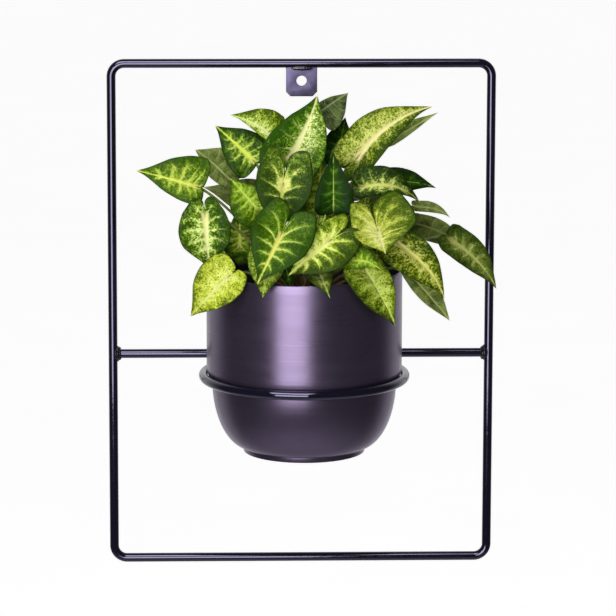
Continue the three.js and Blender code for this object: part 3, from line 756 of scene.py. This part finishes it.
def make_outer_pot():
    side = ellipse_bowl(28)
    side += [(POT_RADIUS, h) for h in np.linspace(POT_SHOULDER_TOP + 4 * MM, POT_HEIGHT - POT_WALL / 2, 12)]
    lining = moved_in(side, POT_WALL)[::-1]
    lip = [
        (
            POT_RADIUS - POT_WALL / 2 * (1 - math.cos(math.pi * step / LIP_STEPS)),
            POT_HEIGHT - POT_WALL / 2 * (1 - math.sin(math.pi * step / LIP_STEPS)),
        )
        for step in range(1, LIP_STEPS)
    ]
    floor = POT_FOOT_RADIUS - POT_WALL
    profile = [
        (0, 0),
        (POT_FOOT_RADIUS - 0.5 * MM, 0),
        (POT_FOOT_RADIUS - 0.15 * MM, 0.15 * MM),
        (POT_FOOT_RADIUS, 0.5 * MM),
        *side,
        *lip,
        *lining[:-1],
        (floor, POT_FOOT_HEIGHT + POT_WALL),
        (floor, POT_WALL),
        (0, POT_WALL),
    ]
    points, faces = lathe(profile, POT_FOOT, POT_STEPS)
    add_piece("spun_pot", points, faces, pot_paint(), "pot", ["outer_pot"], 40)


def nursery_radius(height):
    return NURSERY_BASE_RADIUS + (NURSERY_TOP_RADIUS - NURSERY_BASE_RADIUS) * height / NURSERY_HEIGHT


def make_nursery_pot():
    """A moulded wall with a folded lip, and a base with drain holes."""
    plastic = recycled_plastic()
    under = NURSERY_HEIGHT - NURSERY_LIP_HEIGHT
    lip = NURSERY_TOP_RADIUS + NURSERY_LIP
    base = 3 * MM
    outside = [(nursery_radius(h), h) for h in np.linspace(base, under, 10)]
    inner = [(r - NURSERY_WALL, h) for r, h in outside[::-1]]
    profile = [
        (NURSERY_BASE_RADIUS - 1 * MM, 0),
        (NURSERY_BASE_RADIUS, 0.8 * MM),
        *outside,
        (lip, under),
        (lip, NURSERY_HEIGHT - 1 * MM),
        (lip - 0.4 * MM, NURSERY_HEIGHT - 0.2 * MM),
        (lip - 1 * MM, NURSERY_HEIGHT),
        (NURSERY_TOP_RADIUS - NURSERY_WALL, NURSERY_HEIGHT),
        *inner,
        (NURSERY_BASE_RADIUS - 2 * MM, NURSERY_WALL),
        (NURSERY_BASE_RADIUS - 1 * MM, 0),
    ]
    points, faces = lathe(profile, NURSERY_FOOT, 96)
    add_piece("grow_pot_wall", points, faces, plastic, "plant", ["nursery_pot"], 30)
    add_drained_base(plastic)


def add_drained_base(plastic):
    """A disc with round holes, laid out as bridges between rings of points."""
    made = bmesh.new()
    circles = [(0, 0, NURSERY_BASE_RADIUS - 1.4 * MM, 72)]
    for hole in range(DRAIN_HOLES):
        turn = 2 * math.pi * hole / DRAIN_HOLES
        out = NURSERY_BASE_RADIUS * DRAIN_CIRCLE
        circles.append((out * math.cos(turn), out * math.sin(turn), DRAIN_RADIUS, 20))
    edges = []
    for x, y, radius, steps in circles:
        ring = [
            made.verts.new((
                NURSERY_FOOT.x + x + radius * math.cos(2 * math.pi * i / steps),
                NURSERY_FOOT.y + y + radius * math.sin(2 * math.pi * i / steps),
                NURSERY_FOOT.z,
            ))
            for i in range(steps)
        ]
        edges += [made.edges.new((ring[i], ring[(i + 1) % steps])) for i in range(steps)]
    bmesh.ops.triangle_fill(made, use_beauty=True, use_dissolve=False, edges=edges)
    flat = list(made.faces)
    risen = bmesh.ops.extrude_face_region(made, geom=flat)["geom"]
    lifted = [v for v in risen if isinstance(v, bmesh.types.BMVert)]
    bmesh.ops.translate(made, verts=lifted, vec=(0, 0, NURSERY_WALL))
    bmesh.ops.recalc_face_normals(made, faces=made.faces)
    mesh = bpy.data.meshes.new("grow_pot_base")
    made.to_mesh(mesh)
    made.free()
    mesh.materials.append(plastic)
    seat(bpy.data.objects.new("grow_pot_base", mesh), "plant", [])


SOIL_EDGE = (soil_high.x - soil_low.x) / 2
SOIL_RINGS = 36
SOIL_STEPS = 96
CRUMBS = 420
GRAINS = 60


def soil_height(x, y):
    """The mound's height over its own foot, with hollows and lumps."""
    share = min(math.hypot(x, y) / SOIL_EDGE, 1)
    mound = soil_high.z - soil_low.z - 5 * MM * share**2
    lumps = noise.noise(Vector((x, y, 0)) * 70) * 1.6 + noise.noise(Vector((x, y, 3)) * 240) * 0.7
    return mound - 1.5 * MM + lumps * MM * (1 - share**6)


def make_soil():
    foot = POT_AXIS + Vector((0, 0, soil_low.z))
    profile_radii = [SOIL_EDGE * i / SOIL_RINGS for i in range(SOIL_RINGS + 1)]
    points = []
    for radius in profile_radii:
        for step in range(SOIL_STEPS):
            turn = 2 * math.pi * step / SOIL_STEPS
            x, y = radius * math.cos(turn), radius * math.sin(turn)
            points.append(foot + Vector((x, y, soil_height(x, y))))
    base = NURSERY_BASE_RADIUS - 1.6 * MM
    for radius in (base, 0):
        for step in range(SOIL_STEPS):
            turn = 2 * math.pi * step / SOIL_STEPS
            points.append(foot + Vector((radius * math.cos(turn), radius * math.sin(turn), 0)))
    faces = grid_faces(SOIL_RINGS + 3, SOIL_STEPS)
    add_piece("soil_body", points, faces, peat(), "plant", ["potting_soil"])
    draw = random.Random(11)
    scatter("soil_crumbs", CRUMBS, (0.8 * MM, 2.6 * MM), foot, peat(), draw)
    scatter("soil_perlite", GRAINS, (0.9 * MM, 1.9 * MM), foot, perlite(), draw)


def scatter(name, count, sizes, foot, material, draw):
    """Small rough grains that lie on the soil."""
    points, faces = [], []
    for _ in range(count):
        radius = SOIL_EDGE * 0.96 * math.sqrt(draw.random())
        turn = draw.uniform(0, 2 * math.pi)
        size = draw.uniform(*sizes)
        x, y = radius * math.cos(turn), radius * math.sin(turn)
        centre = foot + Vector((x, y, soil_height(x, y) + 0.15 * size))
        made = bmesh.new()
        bmesh.ops.create_icosphere(made, subdivisions=2, radius=size)
        squash = Vector((draw.uniform(0.7, 1.2), draw.uniform(0.6, 1.1), draw.uniform(0.45, 0.8)))
        spin = Matrix.Rotation(draw.uniform(0, 6.3), 3, "Z")
        start = len(points)
        for vert in made.verts:
            way = vert.co.normalized()
            rough = 1 + 0.35 * noise.noise(way * 1.7 + centre * 900)
            points.append(centre + spin @ Vector([a * b for a, b in zip(vert.co * rough, squash)]))
        faces += [[start + vert.index for vert in face.verts] for face in made.faces]
        made.free()
    add_piece(name, points, faces, material, "plant", [])


# ---------------------------------------------------------------------------
# Plant
# ---------------------------------------------------------------------------

# As in the solids: name, the point where the stalk joins the blade, the tip, the
# half widths left and right of the midrib, the length of the back lobes as a share
# of the blade, turn, fold and arch of the blade, how far the midrib sways to the
# right, and how much fuller the blade is towards its tip; then the record's slot,
# the look of the side towards the room, and how wavy the margin is. Millimetres
# and degrees, measured from the middle of the outer pot's rim.
LEAVES = [
    ("left_outer", (-80, -12, 64), (-126, -6, 76), 14, 22, 0.12, 0, 12, 0.05, 0, 0,
     "mid", "outer", 0.8),
    ("left_back", (-59, 10, 69), (-82, 18, 88), 11, 17, 0.3, 10, 16, 0.1, 0, 0.6,
     "back", "under", 0.8),
    ("left_upper", (-38, -2, 82), (-67, 14, 107), 17, 19, 0.12, 0, 12, 0.05, 0, 0,
     "dark", "dark_rib", 0.8),
    ("upper_small", (-25, -5, 101), (-56, -1, 117), 5, 17, 0.15, 0, 14, 0.08, 2, 0,
     "lime", "speckled", 0.4),
    ("top_centre", (-12, -14, 85), (10, 14, 130), 22, 23, 0.3, 0, 14, 0.08, 2, 0,
     "mid", "top", 1.0),
    ("top_folded", (11, 24, 115), (34, 34, 129), 6, 18, 0.1, 0, 22, 0.12, 0, 0,
     "back", "shaded", 0.8),
    ("right_upper", (39, -14, 86), (95, -8, 124), 20, 15, 0.25, 0, 14, 0.1, -6, 0.2,
     "cream", "right_upper", 0.9),
    ("right_upper_back", (66, 6, 97), (101, 12, 117), 7, 4, 0.2, 0, 25, 0.05, 0, 0,
     "back", "under", 0.3),
    ("right_dark", (42, -26, 66), (86, -20, 53), 15, 9, 0.2, 0, 18, 0.12, -6, 0,
     "dark", "curved", 0.8),
    ("right_behind", (61, -4, 66), (99, 2, 61), 11, 9, 0.2, 0, 16, 0.08, -2, 0,
     "dark", "plain", 0.8),
    ("right_small", (85, 0, 47), (110, 4, 38), 5, 4, 0.2, 0, 20, 0.15, -2, 0.3,
     "back", "under", 0.2),
    ("right_middle", (85, 18, 31), (122, 32, 11), 10, 12, 0.2, 0, 14, 0.08, -2, 0.6,
     "plain", "under", 0.8),
    ("right_drooping", (111, 12, 20), (148, 32, -22), 14, 12, 0.14, 0, 12, 0.06, -3, 0.3,
     "dark", "drooping", 1.0),
    ("front_cream", (52, -66, 40), (57, -79, 25), 29, 18, 1.45, 0, 10, 0.04, 0, 0,
     "cream", "cream", 0.5),
    ("right_lower", (67, -38, 26), (104, -30, -18), 15, 18, 0.35, 0, 14, 0.12, -4, 0.1,
     "mid", "patched", 0.8),
    ("right_underside", (77, -24, 1), (109, -18, -37), 11, 8, 0.2, 0, 20, 0.06, 0, 1,
     "back", "under", 0.8),
    ("right_hanging", (42, -58, 11), (66, -54, -34), 16, 21, 0.2, -20, 14, 0.06, 0, 0.2,
     "lime", "hanging", 0.8),
    ("right_arched", (33, -67, 17), (55, -75, 11), 11, 7, 0.2, 0, 20, 0.08, -3, 0,
     "lime", "lime", 0.4),
    ("centre_upright", (20, -46, 53), (20, -36, 95), 14, 15, 0.12, 0, 14, 0.05, 0, 0,
     "plain", "plain", 0.6),
    ("centre_star", (-17, -43, 71), (-22, -54, 36), 21, 20, 0.75, 0, 12, 0.04, 0, 0,
     "dark", "star", 0.8),
    ("front_dark", (-19, -74, 39), (-37, -86, 4), 23, 21, 0.6, 0, 12, 0.06, 0, 0,
     "dark", "front", 0.8),
    ("left_lime", (-36, -22, 49), (-56, -14, 71), 19, 12, 0.3, 0, 14, 0.05, 0, 0.3,
     "lime", "lime", 0.8),
    ("left_patterned", (-75, -38, 48), (-72, -36, 7), 21, 24, 0.32, 0, 16, 0.08, 0, 0.8,
     "mid", "patterned", 1.0),
    ("left_low", (-57, -54, 4), (-86, -44, -28), 17, 21, 0.25, 10, 14, 0.05, 0, 0.2,
     "cream", "pale", 0.8),
    ("front_edge", (-29, -63, 27), (-33, -81, -7), 17, 16, 0.25, 0, 14, 0.05, 0, 0.7,
     "mid", "edge", 0.8),
    ("front_low", (17, -68, 33), (-14, -74, 8), 22, 15, 0.55, 0, 14, 0.05, 0, 0.2,
     "mid", "streaked", 0.8),
    ("front_small", (7, -57, 34), (14, -54, 50), 9, 8, 0.3, 0, 10, 0.05, 0, 0.5,
     "mid", "edge", 0.4),
    ("low_centre", (-16, -50, 13), (-12, -70, -5), 8, 8, 0.2, 0, 14, 0.08, 0, 0,
     "plain", "plain", 0.3),
    ("low_right", (7, -52, 10), (16, -88, -6), 12, 12, 0.2, 0, 16, 0.06, 0, 0.4,
     "plain", "drooping", 0.5),
    ("top_back", (26, 26, 82), (32, 38, 110), 14, 12, 0.3, 0, 14, 0.06, 0, 0,
     "plain", "plain", 0.6),
    ("inner_top", (11, -8, 40), (12, -2, 91), 18, 17, 0.3, 0, 12, 0.05, 0, 0,
     "plain", "outer", 0.6),
    ("inner_right", (41, -8, 22), (47, 0, 64), 11, 14, 0.3, 0, 12, 0.05, 0, 0,
     "plain", "edge", 0.6),
    ("inner_left", (-41, 12, 11), (-44, 20, 45), 13, 13, 0.3, 0, 12, 0.05, 0, 0,
     "plain", "outer", 0.6),
    ("inner_low_left", (-49, -10, 18), (-49, -6, 44), 13, 13, 0.3, 0, 12, 0.05, 0, 0.3,
     "plain", "outer", 0.6),
    ("back_left", (-38, 24, 50), (-76, 40, 56), 14, 14, 0.35, 170, 14, 0.1, 0, 0,
     "mid", "outer", 0.8),
    ("back_upper", (-16, 36, 76), (-28, 58, 98), 15, 15, 0.35, 170, 14, 0.08, 0, 0,
     "dark", "dark_rib", 0.8),
    ("back_right", (46, 30, 48), (84, 46, 56), 16, 16, 0.35, 190, 14, 0.1, 0, 0,
     "lime", "lime", 0.8),
    ("back_low_left", (-40, 46, 24), (-64, 66, -4), 16, 17, 0.4, 180, 14, 0.1, 0, 0,
     "mid", "patched", 0.8),
    ("back_low_right", (36, 48, 26), (56, 66, -4), 15, 15, 0.4, 180, 14, 0.1, 0, 0,
     "dark", "front", 0.8),
    ("back_centre", (2, 40, 48), (4, 64, 28), 18, 18, 0.5, 180, 12, 0.08, 0, 0,
     "mid", "patterned", 0.8),
]

# Half of the outline: across in half widths, along in blade lengths
MARGIN = [
    (0, 0), (0.3, -0.72), (0.72, -0.95), (1, -0.32), (1, 0.12),
    (0.82, 0.38), (0.5, 0.66), (0.18, 0.88), (0, 1),
]
FULLNESS_PIVOT = 0.35  # the place along the blade that keeps its width
TIP_DRAW = 0.3  # how much slimmer the tip is drawn out
NOTCH_CLOSING = 0.8  # how much closer the back lobes lie beside the stalk
LOBE_BOW = 0.4
RIB_CROWDING = 1.7
BLADE_FACING = Vector((0, -1, 0.3))
BLADE_THICKNESS = 0.55 * MM
BLADE_ROWS = 44
BLADE_COLUMNS = 32  # even, so that the middle one is the midrib
QUILT = 0.8 * MM  # how far the blade rises between its side veins
RIB_GROOVE = 0.5 * MM
STALK_RADIUS = 1.15 * MM
CROWN_RADIUS = 16 * MM
STALK_TURN = 10 * MM


def margin_at(share):
    """A point on the half outline, on a smooth curve through MARGIN's points."""
    points = np.array(MARGIN, float)
    place = share * (len(points) - 1)
    at = min(int(place), len(points) - 2)
    t = place - at
    p0, p1 = points[max(at - 1, 0)], points[at]
    p2, p3 = points[at + 1], points[min(at + 2, len(points) - 1)]
    v0, v1 = (p2 - p0) / 2, (p3 - p1) / 2
    return (2 * p1 - 2 * p2 + v0 + v1) * t**3 + (-3 * p1 + 3 * p2 - 2 * v0 - v1) * t**2 + v0 * t + p1


def leaf_axes(leaf):
    along = (leaf["tip"] - leaf["joint"]).normalized()
    face = (BLADE_FACING - along * BLADE_FACING.dot(along)).normalized()
    face = Matrix.Rotation(math.radians(leaf["turn"]), 3, along) @ face
    return along, face, along.cross(face)


def blade_point(leaf, margin, rib, column, row):
    """The point of the blade, and its place on the flat blade."""
    half = leaf["left"] if column < 0 else leaf["right"]
    out = abs(column)
    x = column * margin[0] * (1 + leaf["taper"] * (margin[1] - FULLNESS_PIVOT)) * half
    x *= 1 - TIP_DRAW * min(max((margin[1] - 0.55) / 0.35, 0), 1)
    x *= 1 - NOTCH_CLOSING * min(max((0.25 - row) / 0.13, 0), 1)
    y = rib + (margin[1] - rib) * out
    bow = LOBE_BOW * y if y < 0 else y * (1 - y)
    rise = abs(x) * math.tan(math.radians(leaf["fold"])) + 4 * leaf["arch"] * leaf["length"] * bow
    fan = SIDE_VEINS * (row - VEIN_SWEEP * out**2)
    between = abs(math.sin(math.pi * fan)) * (1 - out**2) * min(1, 4 * out) * margin[0]
    rise += QUILT * between
    rise -= RIB_GROOVE * math.exp(-((x / (1.1 * MM)) ** 2))
    wave = math.sin(2 * math.pi * (leaf["waves"] * row + leaf["phase"] + 0.37 * (column > 0)))
    rise += leaf["wavy"] * MM * 2.0 * wave * out**2 * margin[0]
    rise -= 0.9 * MM * max(0, out - 0.75) / 0.25 * margin[0]
    return x, y * leaf["length"], rise


def swing(leaf, share):
    """How far the midrib has swayed to the right, at a share of the blade."""
    return 4 * leaf["sway"] * share * (1 - share) if share > 0 else 0


def make_leaf(leaf, skins):
    along, face, across = leaf_axes(leaf)
    columns = [2 * i / BLADE_COLUMNS - 1 for i in range(BLADE_COLUMNS + 1)]
    points, veins, flats, index = [], [], [], []
    for i in range(BLADE_ROWS + 1):
        row = i / BLADE_ROWS
        margin = margin_at(row)
        if margin[1] < 0:
            margin[1] *= leaf["lobe"]
        rib = row**RIB_CROWDING
        ends = i in (0, BLADE_ROWS)
        line = []
        for column in [0] if ends else columns:
            x, y, rise = blade_point(leaf, margin, rib, column, row)
            line.append(len(points))
            swayed = x + swing(leaf, y / leaf["length"])
            points.append(leaf["joint"] + across * swayed + along * y + face * rise)
            veins.append((row, column, leaf["number"]))
            flats.append((x / MM, y / MM, leaf["length"] / MM))
        index.append(line * (BLADE_COLUMNS + 1) if ends else line)
    faces = []
    for i in range(BLADE_ROWS):
        for j in range(BLADE_COLUMNS):
            corners = [index[i][j], index[i][j + 1], index[i + 1][j + 1], index[i + 1][j]]
            faces.append(list(dict.fromkeys(corners)))
    name = "blade_" + leaf["name"]
    mesh = bpy.data.meshes.new(name)
    mesh.from_pydata(points, [], faces)
    for label, values in (("vein", veins), ("flat", flats)):
        held = mesh.attributes.new(label, "FLOAT_VECTOR", "POINT")
        held.data.foreach_set("vector", np.array(values, np.float32).ravel())
    if leaf["look"] in ("under", "shaded"):
        room, wall = skins[leaf["look"]], skins["plain"]
    else:
        room, wall = skins[leaf["look"]], skins["under"]
    mesh.materials.append(room)
    mesh.materials.append(wall)
    mesh.shade_smooth()
    piece = bpy.data.objects.new(name, mesh)
    thicken = piece.modifiers.new("thickness", "SOLIDIFY")
    thicken.thickness = BLADE_THICKNESS
    thicken.offset = 0
    thicken.material_offset = 1
    seat(piece, "plant", ["leaf_" + leaf["name"]])


def bezier(points, steps):
    """Points on a cubic curve."""
    p0, p1, p2, p3 = points
    drawn = []
    for step in range(steps + 1):
        t = step / steps
        drawn.append(
            p0 * (1 - t) ** 3 + p1 * 3 * t * (1 - t) ** 2 + p2 * 3 * t**2 * (1 - t) + p3 * t**3
        )
    return drawn


def stalk_path(leaf):
    """From the crown to the blade, and on under it as the raised midrib."""
    along, face, across = leaf_axes(leaf)
    root = POT_AXIS + Vector((0, 0, soil_high.z))
    out = Vector((leaf["joint"].x, leaf["joint"].y - POT_AXIS.y, 0))
    root += out.normalized() * CROWN_RADIUS * 0.7
    lean = out * 0.3
    lean.z = 0.6 * max(leaf["joint"].z - root.z, 12 * MM)
    behind = -along - face
    end = leaf["joint"] + behind * 0.6 * MM
    path = bezier([root, root + lean, leaf["joint"] + behind * STALK_TURN, end], 26)
    radii = [STALK_RADIUS * (1.9 - 1.0 * min(1, i / 9)) for i in range(27)]
    for i in range(1, 13):
        share = 0.9 * i / 12
        rise = 4 * leaf["arch"] * leaf["length"] * share * (1 - share) - RIB_GROOVE
        way = along * share * leaf["length"] + across * swing(leaf, share)
        path.append(leaf["joint"] + way + face * (rise - 0.45 * MM))
        radii.append(STALK_RADIUS * (0.62 - 0.5 * i / 12))
    return path, radii


def make_stalks(leaves):
    points, faces, marks = [], [], []
    for leaf in leaves:
        path, radii = stalk_path(leaf)
        ring, quads = tube(path, radii, 10)
        faces += [[len(points) + i for i in face] for face in quads]
        points += ring
        for i in range(len(path)):
            marks += [(i / len(path), 0, leaf["number"])] * 10
    mesh = bpy.data.meshes.new("leaf_stalks")
    mesh.from_pydata(points, [], faces)
    held = mesh.attributes.new("stalk", "FLOAT_VECTOR", "POINT")
    held.data.foreach_set("vector", np.array(marks, np.float32).ravel())
    skin = stalk_skin()
    mesh.materials.append(skin)
    mesh.shade_smooth()
    seat(bpy.data.objects.new("leaf_stalks", mesh), "plant", ["stems"])
    make_crown(skin)


def make_crown(skin):
    """Short thick stems with the rings of old leaves, where the stalks start."""
    draw = random.Random(5)
    points, faces = [], []
    top = POT_AXIS + Vector((0, 0, soil_high.z))
    for i in range(7):
        turn = 2 * math.pi * i / 7 + draw.uniform(-0.3, 0.3)
        out = Vector((math.cos(turn), math.sin(turn), 0))
        foot = top + out * 6 * MM - Vector((0, 0, 6 * MM))
        head = top + out * 12.5 * MM + Vector((0, 0, draw.uniform(6, 10) * MM))
        path = [foot.lerp(head, j / 16) for j in range(17)]
        radii = [(3.6 - 1.2 * j / 16 + 0.5 * math.cos(j * math.pi / 2) ** 4) * MM for j in range(16)]
        ring, quads = tube(path, radii + [0.8 * MM], 14)
        faces += [[len(points) + k for k in face] for face in quads]
        points += ring
    add_piece("crown_stems", points, faces, skin, "plant", [])


def make_plant():
    skins = {name: leaf_skin(name) for name in LOOKS}
    skins["under"] = leaf_underside("underside", "#3f5014", "#788a3e", "#a3ad6c")
    # A darker copy of the underside: painted shade, for a blade that lies in shadow.
    skins["shaded"] = leaf_underside("painted_shade_underside", "#0f1806", "#566632", "#8a9868")
    draw = random.Random(3)
    leaves = []
    for number, row in enumerate(LEAVES):
        name, joint, tip, left, right, lobe, turn, fold, arch, sway, taper, slot, look, wavy = row
        leaf = {
            "name": name,
            "number": number,
            "joint": RIM + Vector(joint) * MM,
            "tip": RIM + Vector(tip) * MM,
            "left": left * MM,
            "right": right * MM,
            "lobe": lobe,
            "turn": turn,
            "fold": fold,
            "arch": arch,
            "sway": sway * MM,
            "taper": taper,
            "slot": slot,
            "look": look,
            "wavy": wavy,
            "waves": draw.uniform(1.6, 2.8),
            "phase": draw.random(),
        }
        leaf["length"] = (leaf["tip"] - leaf["joint"]).length
        leaves.append(leaf)
        make_leaf(leaf, skins)
    make_stalks(leaves)


# ---------------------------------------------------------------------------
# Studio
# ---------------------------------------------------------------------------

FLOOR_Z = -1.6
WHITE = (1, 1, 1, 1)


def add_camera():
    data = bpy.data.cameras.new("camera")
    data.lens = CAMERA_LENS
    data.sensor_width = 36
    data.clip_end = 60
    camera = bpy.data.objects.new("camera", data)
    bpy.context.scene.collection.objects.link(camera)
    camera.matrix_world = (
        Matrix.Translation(CAMERA_AT)
        @ Matrix.Rotation(math.radians(-CAMERA_YAW), 4, "Z")
        @ Matrix.Rotation(math.radians(-CAMERA_PITCH), 4, "X")
        @ Matrix.Rotation(math.radians(CAMERA_ROLL), 4, "Y")
        @ Matrix.Rotation(math.pi / 2, 4, "X")
    )
    bpy.context.scene.camera = camera


def add_softbox(name, azimuth, elevation, distance, width, height, radiance, tint=(1, 1, 1)):
    """A soft light that faces the pot. Azimuth 0 is the room's side, positive right."""
    data = bpy.data.lights.new(name, "AREA")
    data.shape = "RECTANGLE"
    data.size = width
    data.size_y = height
    data.energy = radiance * math.pi * width * height
    data.color = tint
    light = bpy.data.objects.new(name, data)
    bpy.context.scene.collection.objects.link(light)
    a, e = math.radians(azimuth), math.radians(elevation)
    away = Vector((math.sin(a) * math.cos(e), -math.cos(a) * math.cos(e), math.sin(e)))
    target = Vector((0, POT_AXIS.y, CROSSBAR_Z + 0.08))
    light.location = target + away * distance
    light.rotation_mode = "QUATERNION"
    light.rotation_quaternion = away.to_track_quat("Z", "Y")


def add_world():
    """White behind the planter and dim in the room; the camera itself sees white."""
    world = bpy.data.worlds.new("studio")
    bpy.context.scene.world = world
    world.use_nodes = True
    tree = world.node_tree
    tree.nodes.clear()
    way = tree.nodes.new("ShaderNodeTexCoord")
    split = tree.nodes.new("ShaderNodeSeparateXYZ")
    spread = tree.nodes.new("ShaderNodeMapRange")
    spread.interpolation_type = "SMOOTHSTEP"
    for i, value in ((1, 0.2), (2, 0.85), (3, 0.07), (4, 1.0)):
        spread.inputs[i].default_value = value
    room = tree.nodes.new("ShaderNodeBackground")
    seen = tree.nodes.new("ShaderNodeBackground")
    seen.inputs["Color"].default_value = WHITE
    path = tree.nodes.new("ShaderNodeLightPath")
    either = tree.nodes.new("ShaderNodeMixShader")
    out = tree.nodes.new("ShaderNodeOutputWorld")
    tree.links.new(way.outputs["Generated"], split.inputs[0])
    tree.links.new(split.outputs["Y"], spread.inputs[0])
    tree.links.new(spread.outputs[0], room.inputs["Strength"])
    tree.links.new(path.outputs["Is Camera Ray"], either.inputs[0])
    tree.links.new(room.outputs[0], either.inputs[1])
    tree.links.new(seen.outputs[0], either.inputs[2])
    tree.links.new(either.outputs[0], out.inputs["Surface"])


def add_floor():
    """A plain pale floor under the hanging planter."""
    shade = Shade("floor_white")
    tone = shade.noise(shade.place(), 3, 2)
    shade.set(Base_Color=shade.mix(tone, colour("#f4f4f4"), colour("#ffffff")), Roughness=0.8)
    glow = shade.node("Emission", {"Color": WHITE, "Strength": 0.75}, 0)
    seen = shade.node("LightPath", {}, "Is Camera Ray")
    both = shade.node("AddShader", {0: shade.surface.outputs[0], 1: glow})
    either = shade.node("MixShader", {0: seen, 1: shade.surface.outputs[0], 2: both})
    # Away from the planter, gloss shows the studio as the world gives it, white
    # behind and dim in the room.
    away = shade.node("VectorMath", {0: shade.place()}, "Value", operation="LENGTH")
    mirrored = shade.times(
        shade.node("LightPath", {}, "Is Glossy Ray"), shade.step(away, 1.0, 3.0, 0.1, 1.0)
    )
    either = shade.node("MixShader", {0: mirrored, 1: either, 2: shade.node("BsdfTransparent", {})})
    shade.feed(shade.tree.nodes["Material Output"].inputs["Surface"], either)
    half = 25
    mesh = bpy.data.meshes.new("floor")
    corners = [(-half, -half, FLOOR_Z), (half, -half, FLOOR_Z), (half, half, FLOOR_Z), (-half, half, FLOOR_Z)]
    mesh.from_pydata(corners, [], [(0, 1, 2, 3)])
    mesh.materials.append(shade.material)
    floor = bpy.data.objects.new("floor", mesh)
    bpy.context.scene.collection.objects.link(floor)


add_camera()
make_frame()
make_outer_pot()
make_nursery_pot()
make_soil()
make_plant()
add_world()
add_floor()
add_softbox("key", -15, 1, 2.4, 1.5, 1.4, 6.0)
add_softbox("overhead", -20, 52, 2.2, 1.5, 1.1, 6.2)
bpy.context.scene.view_settings.view_transform = "Standard"
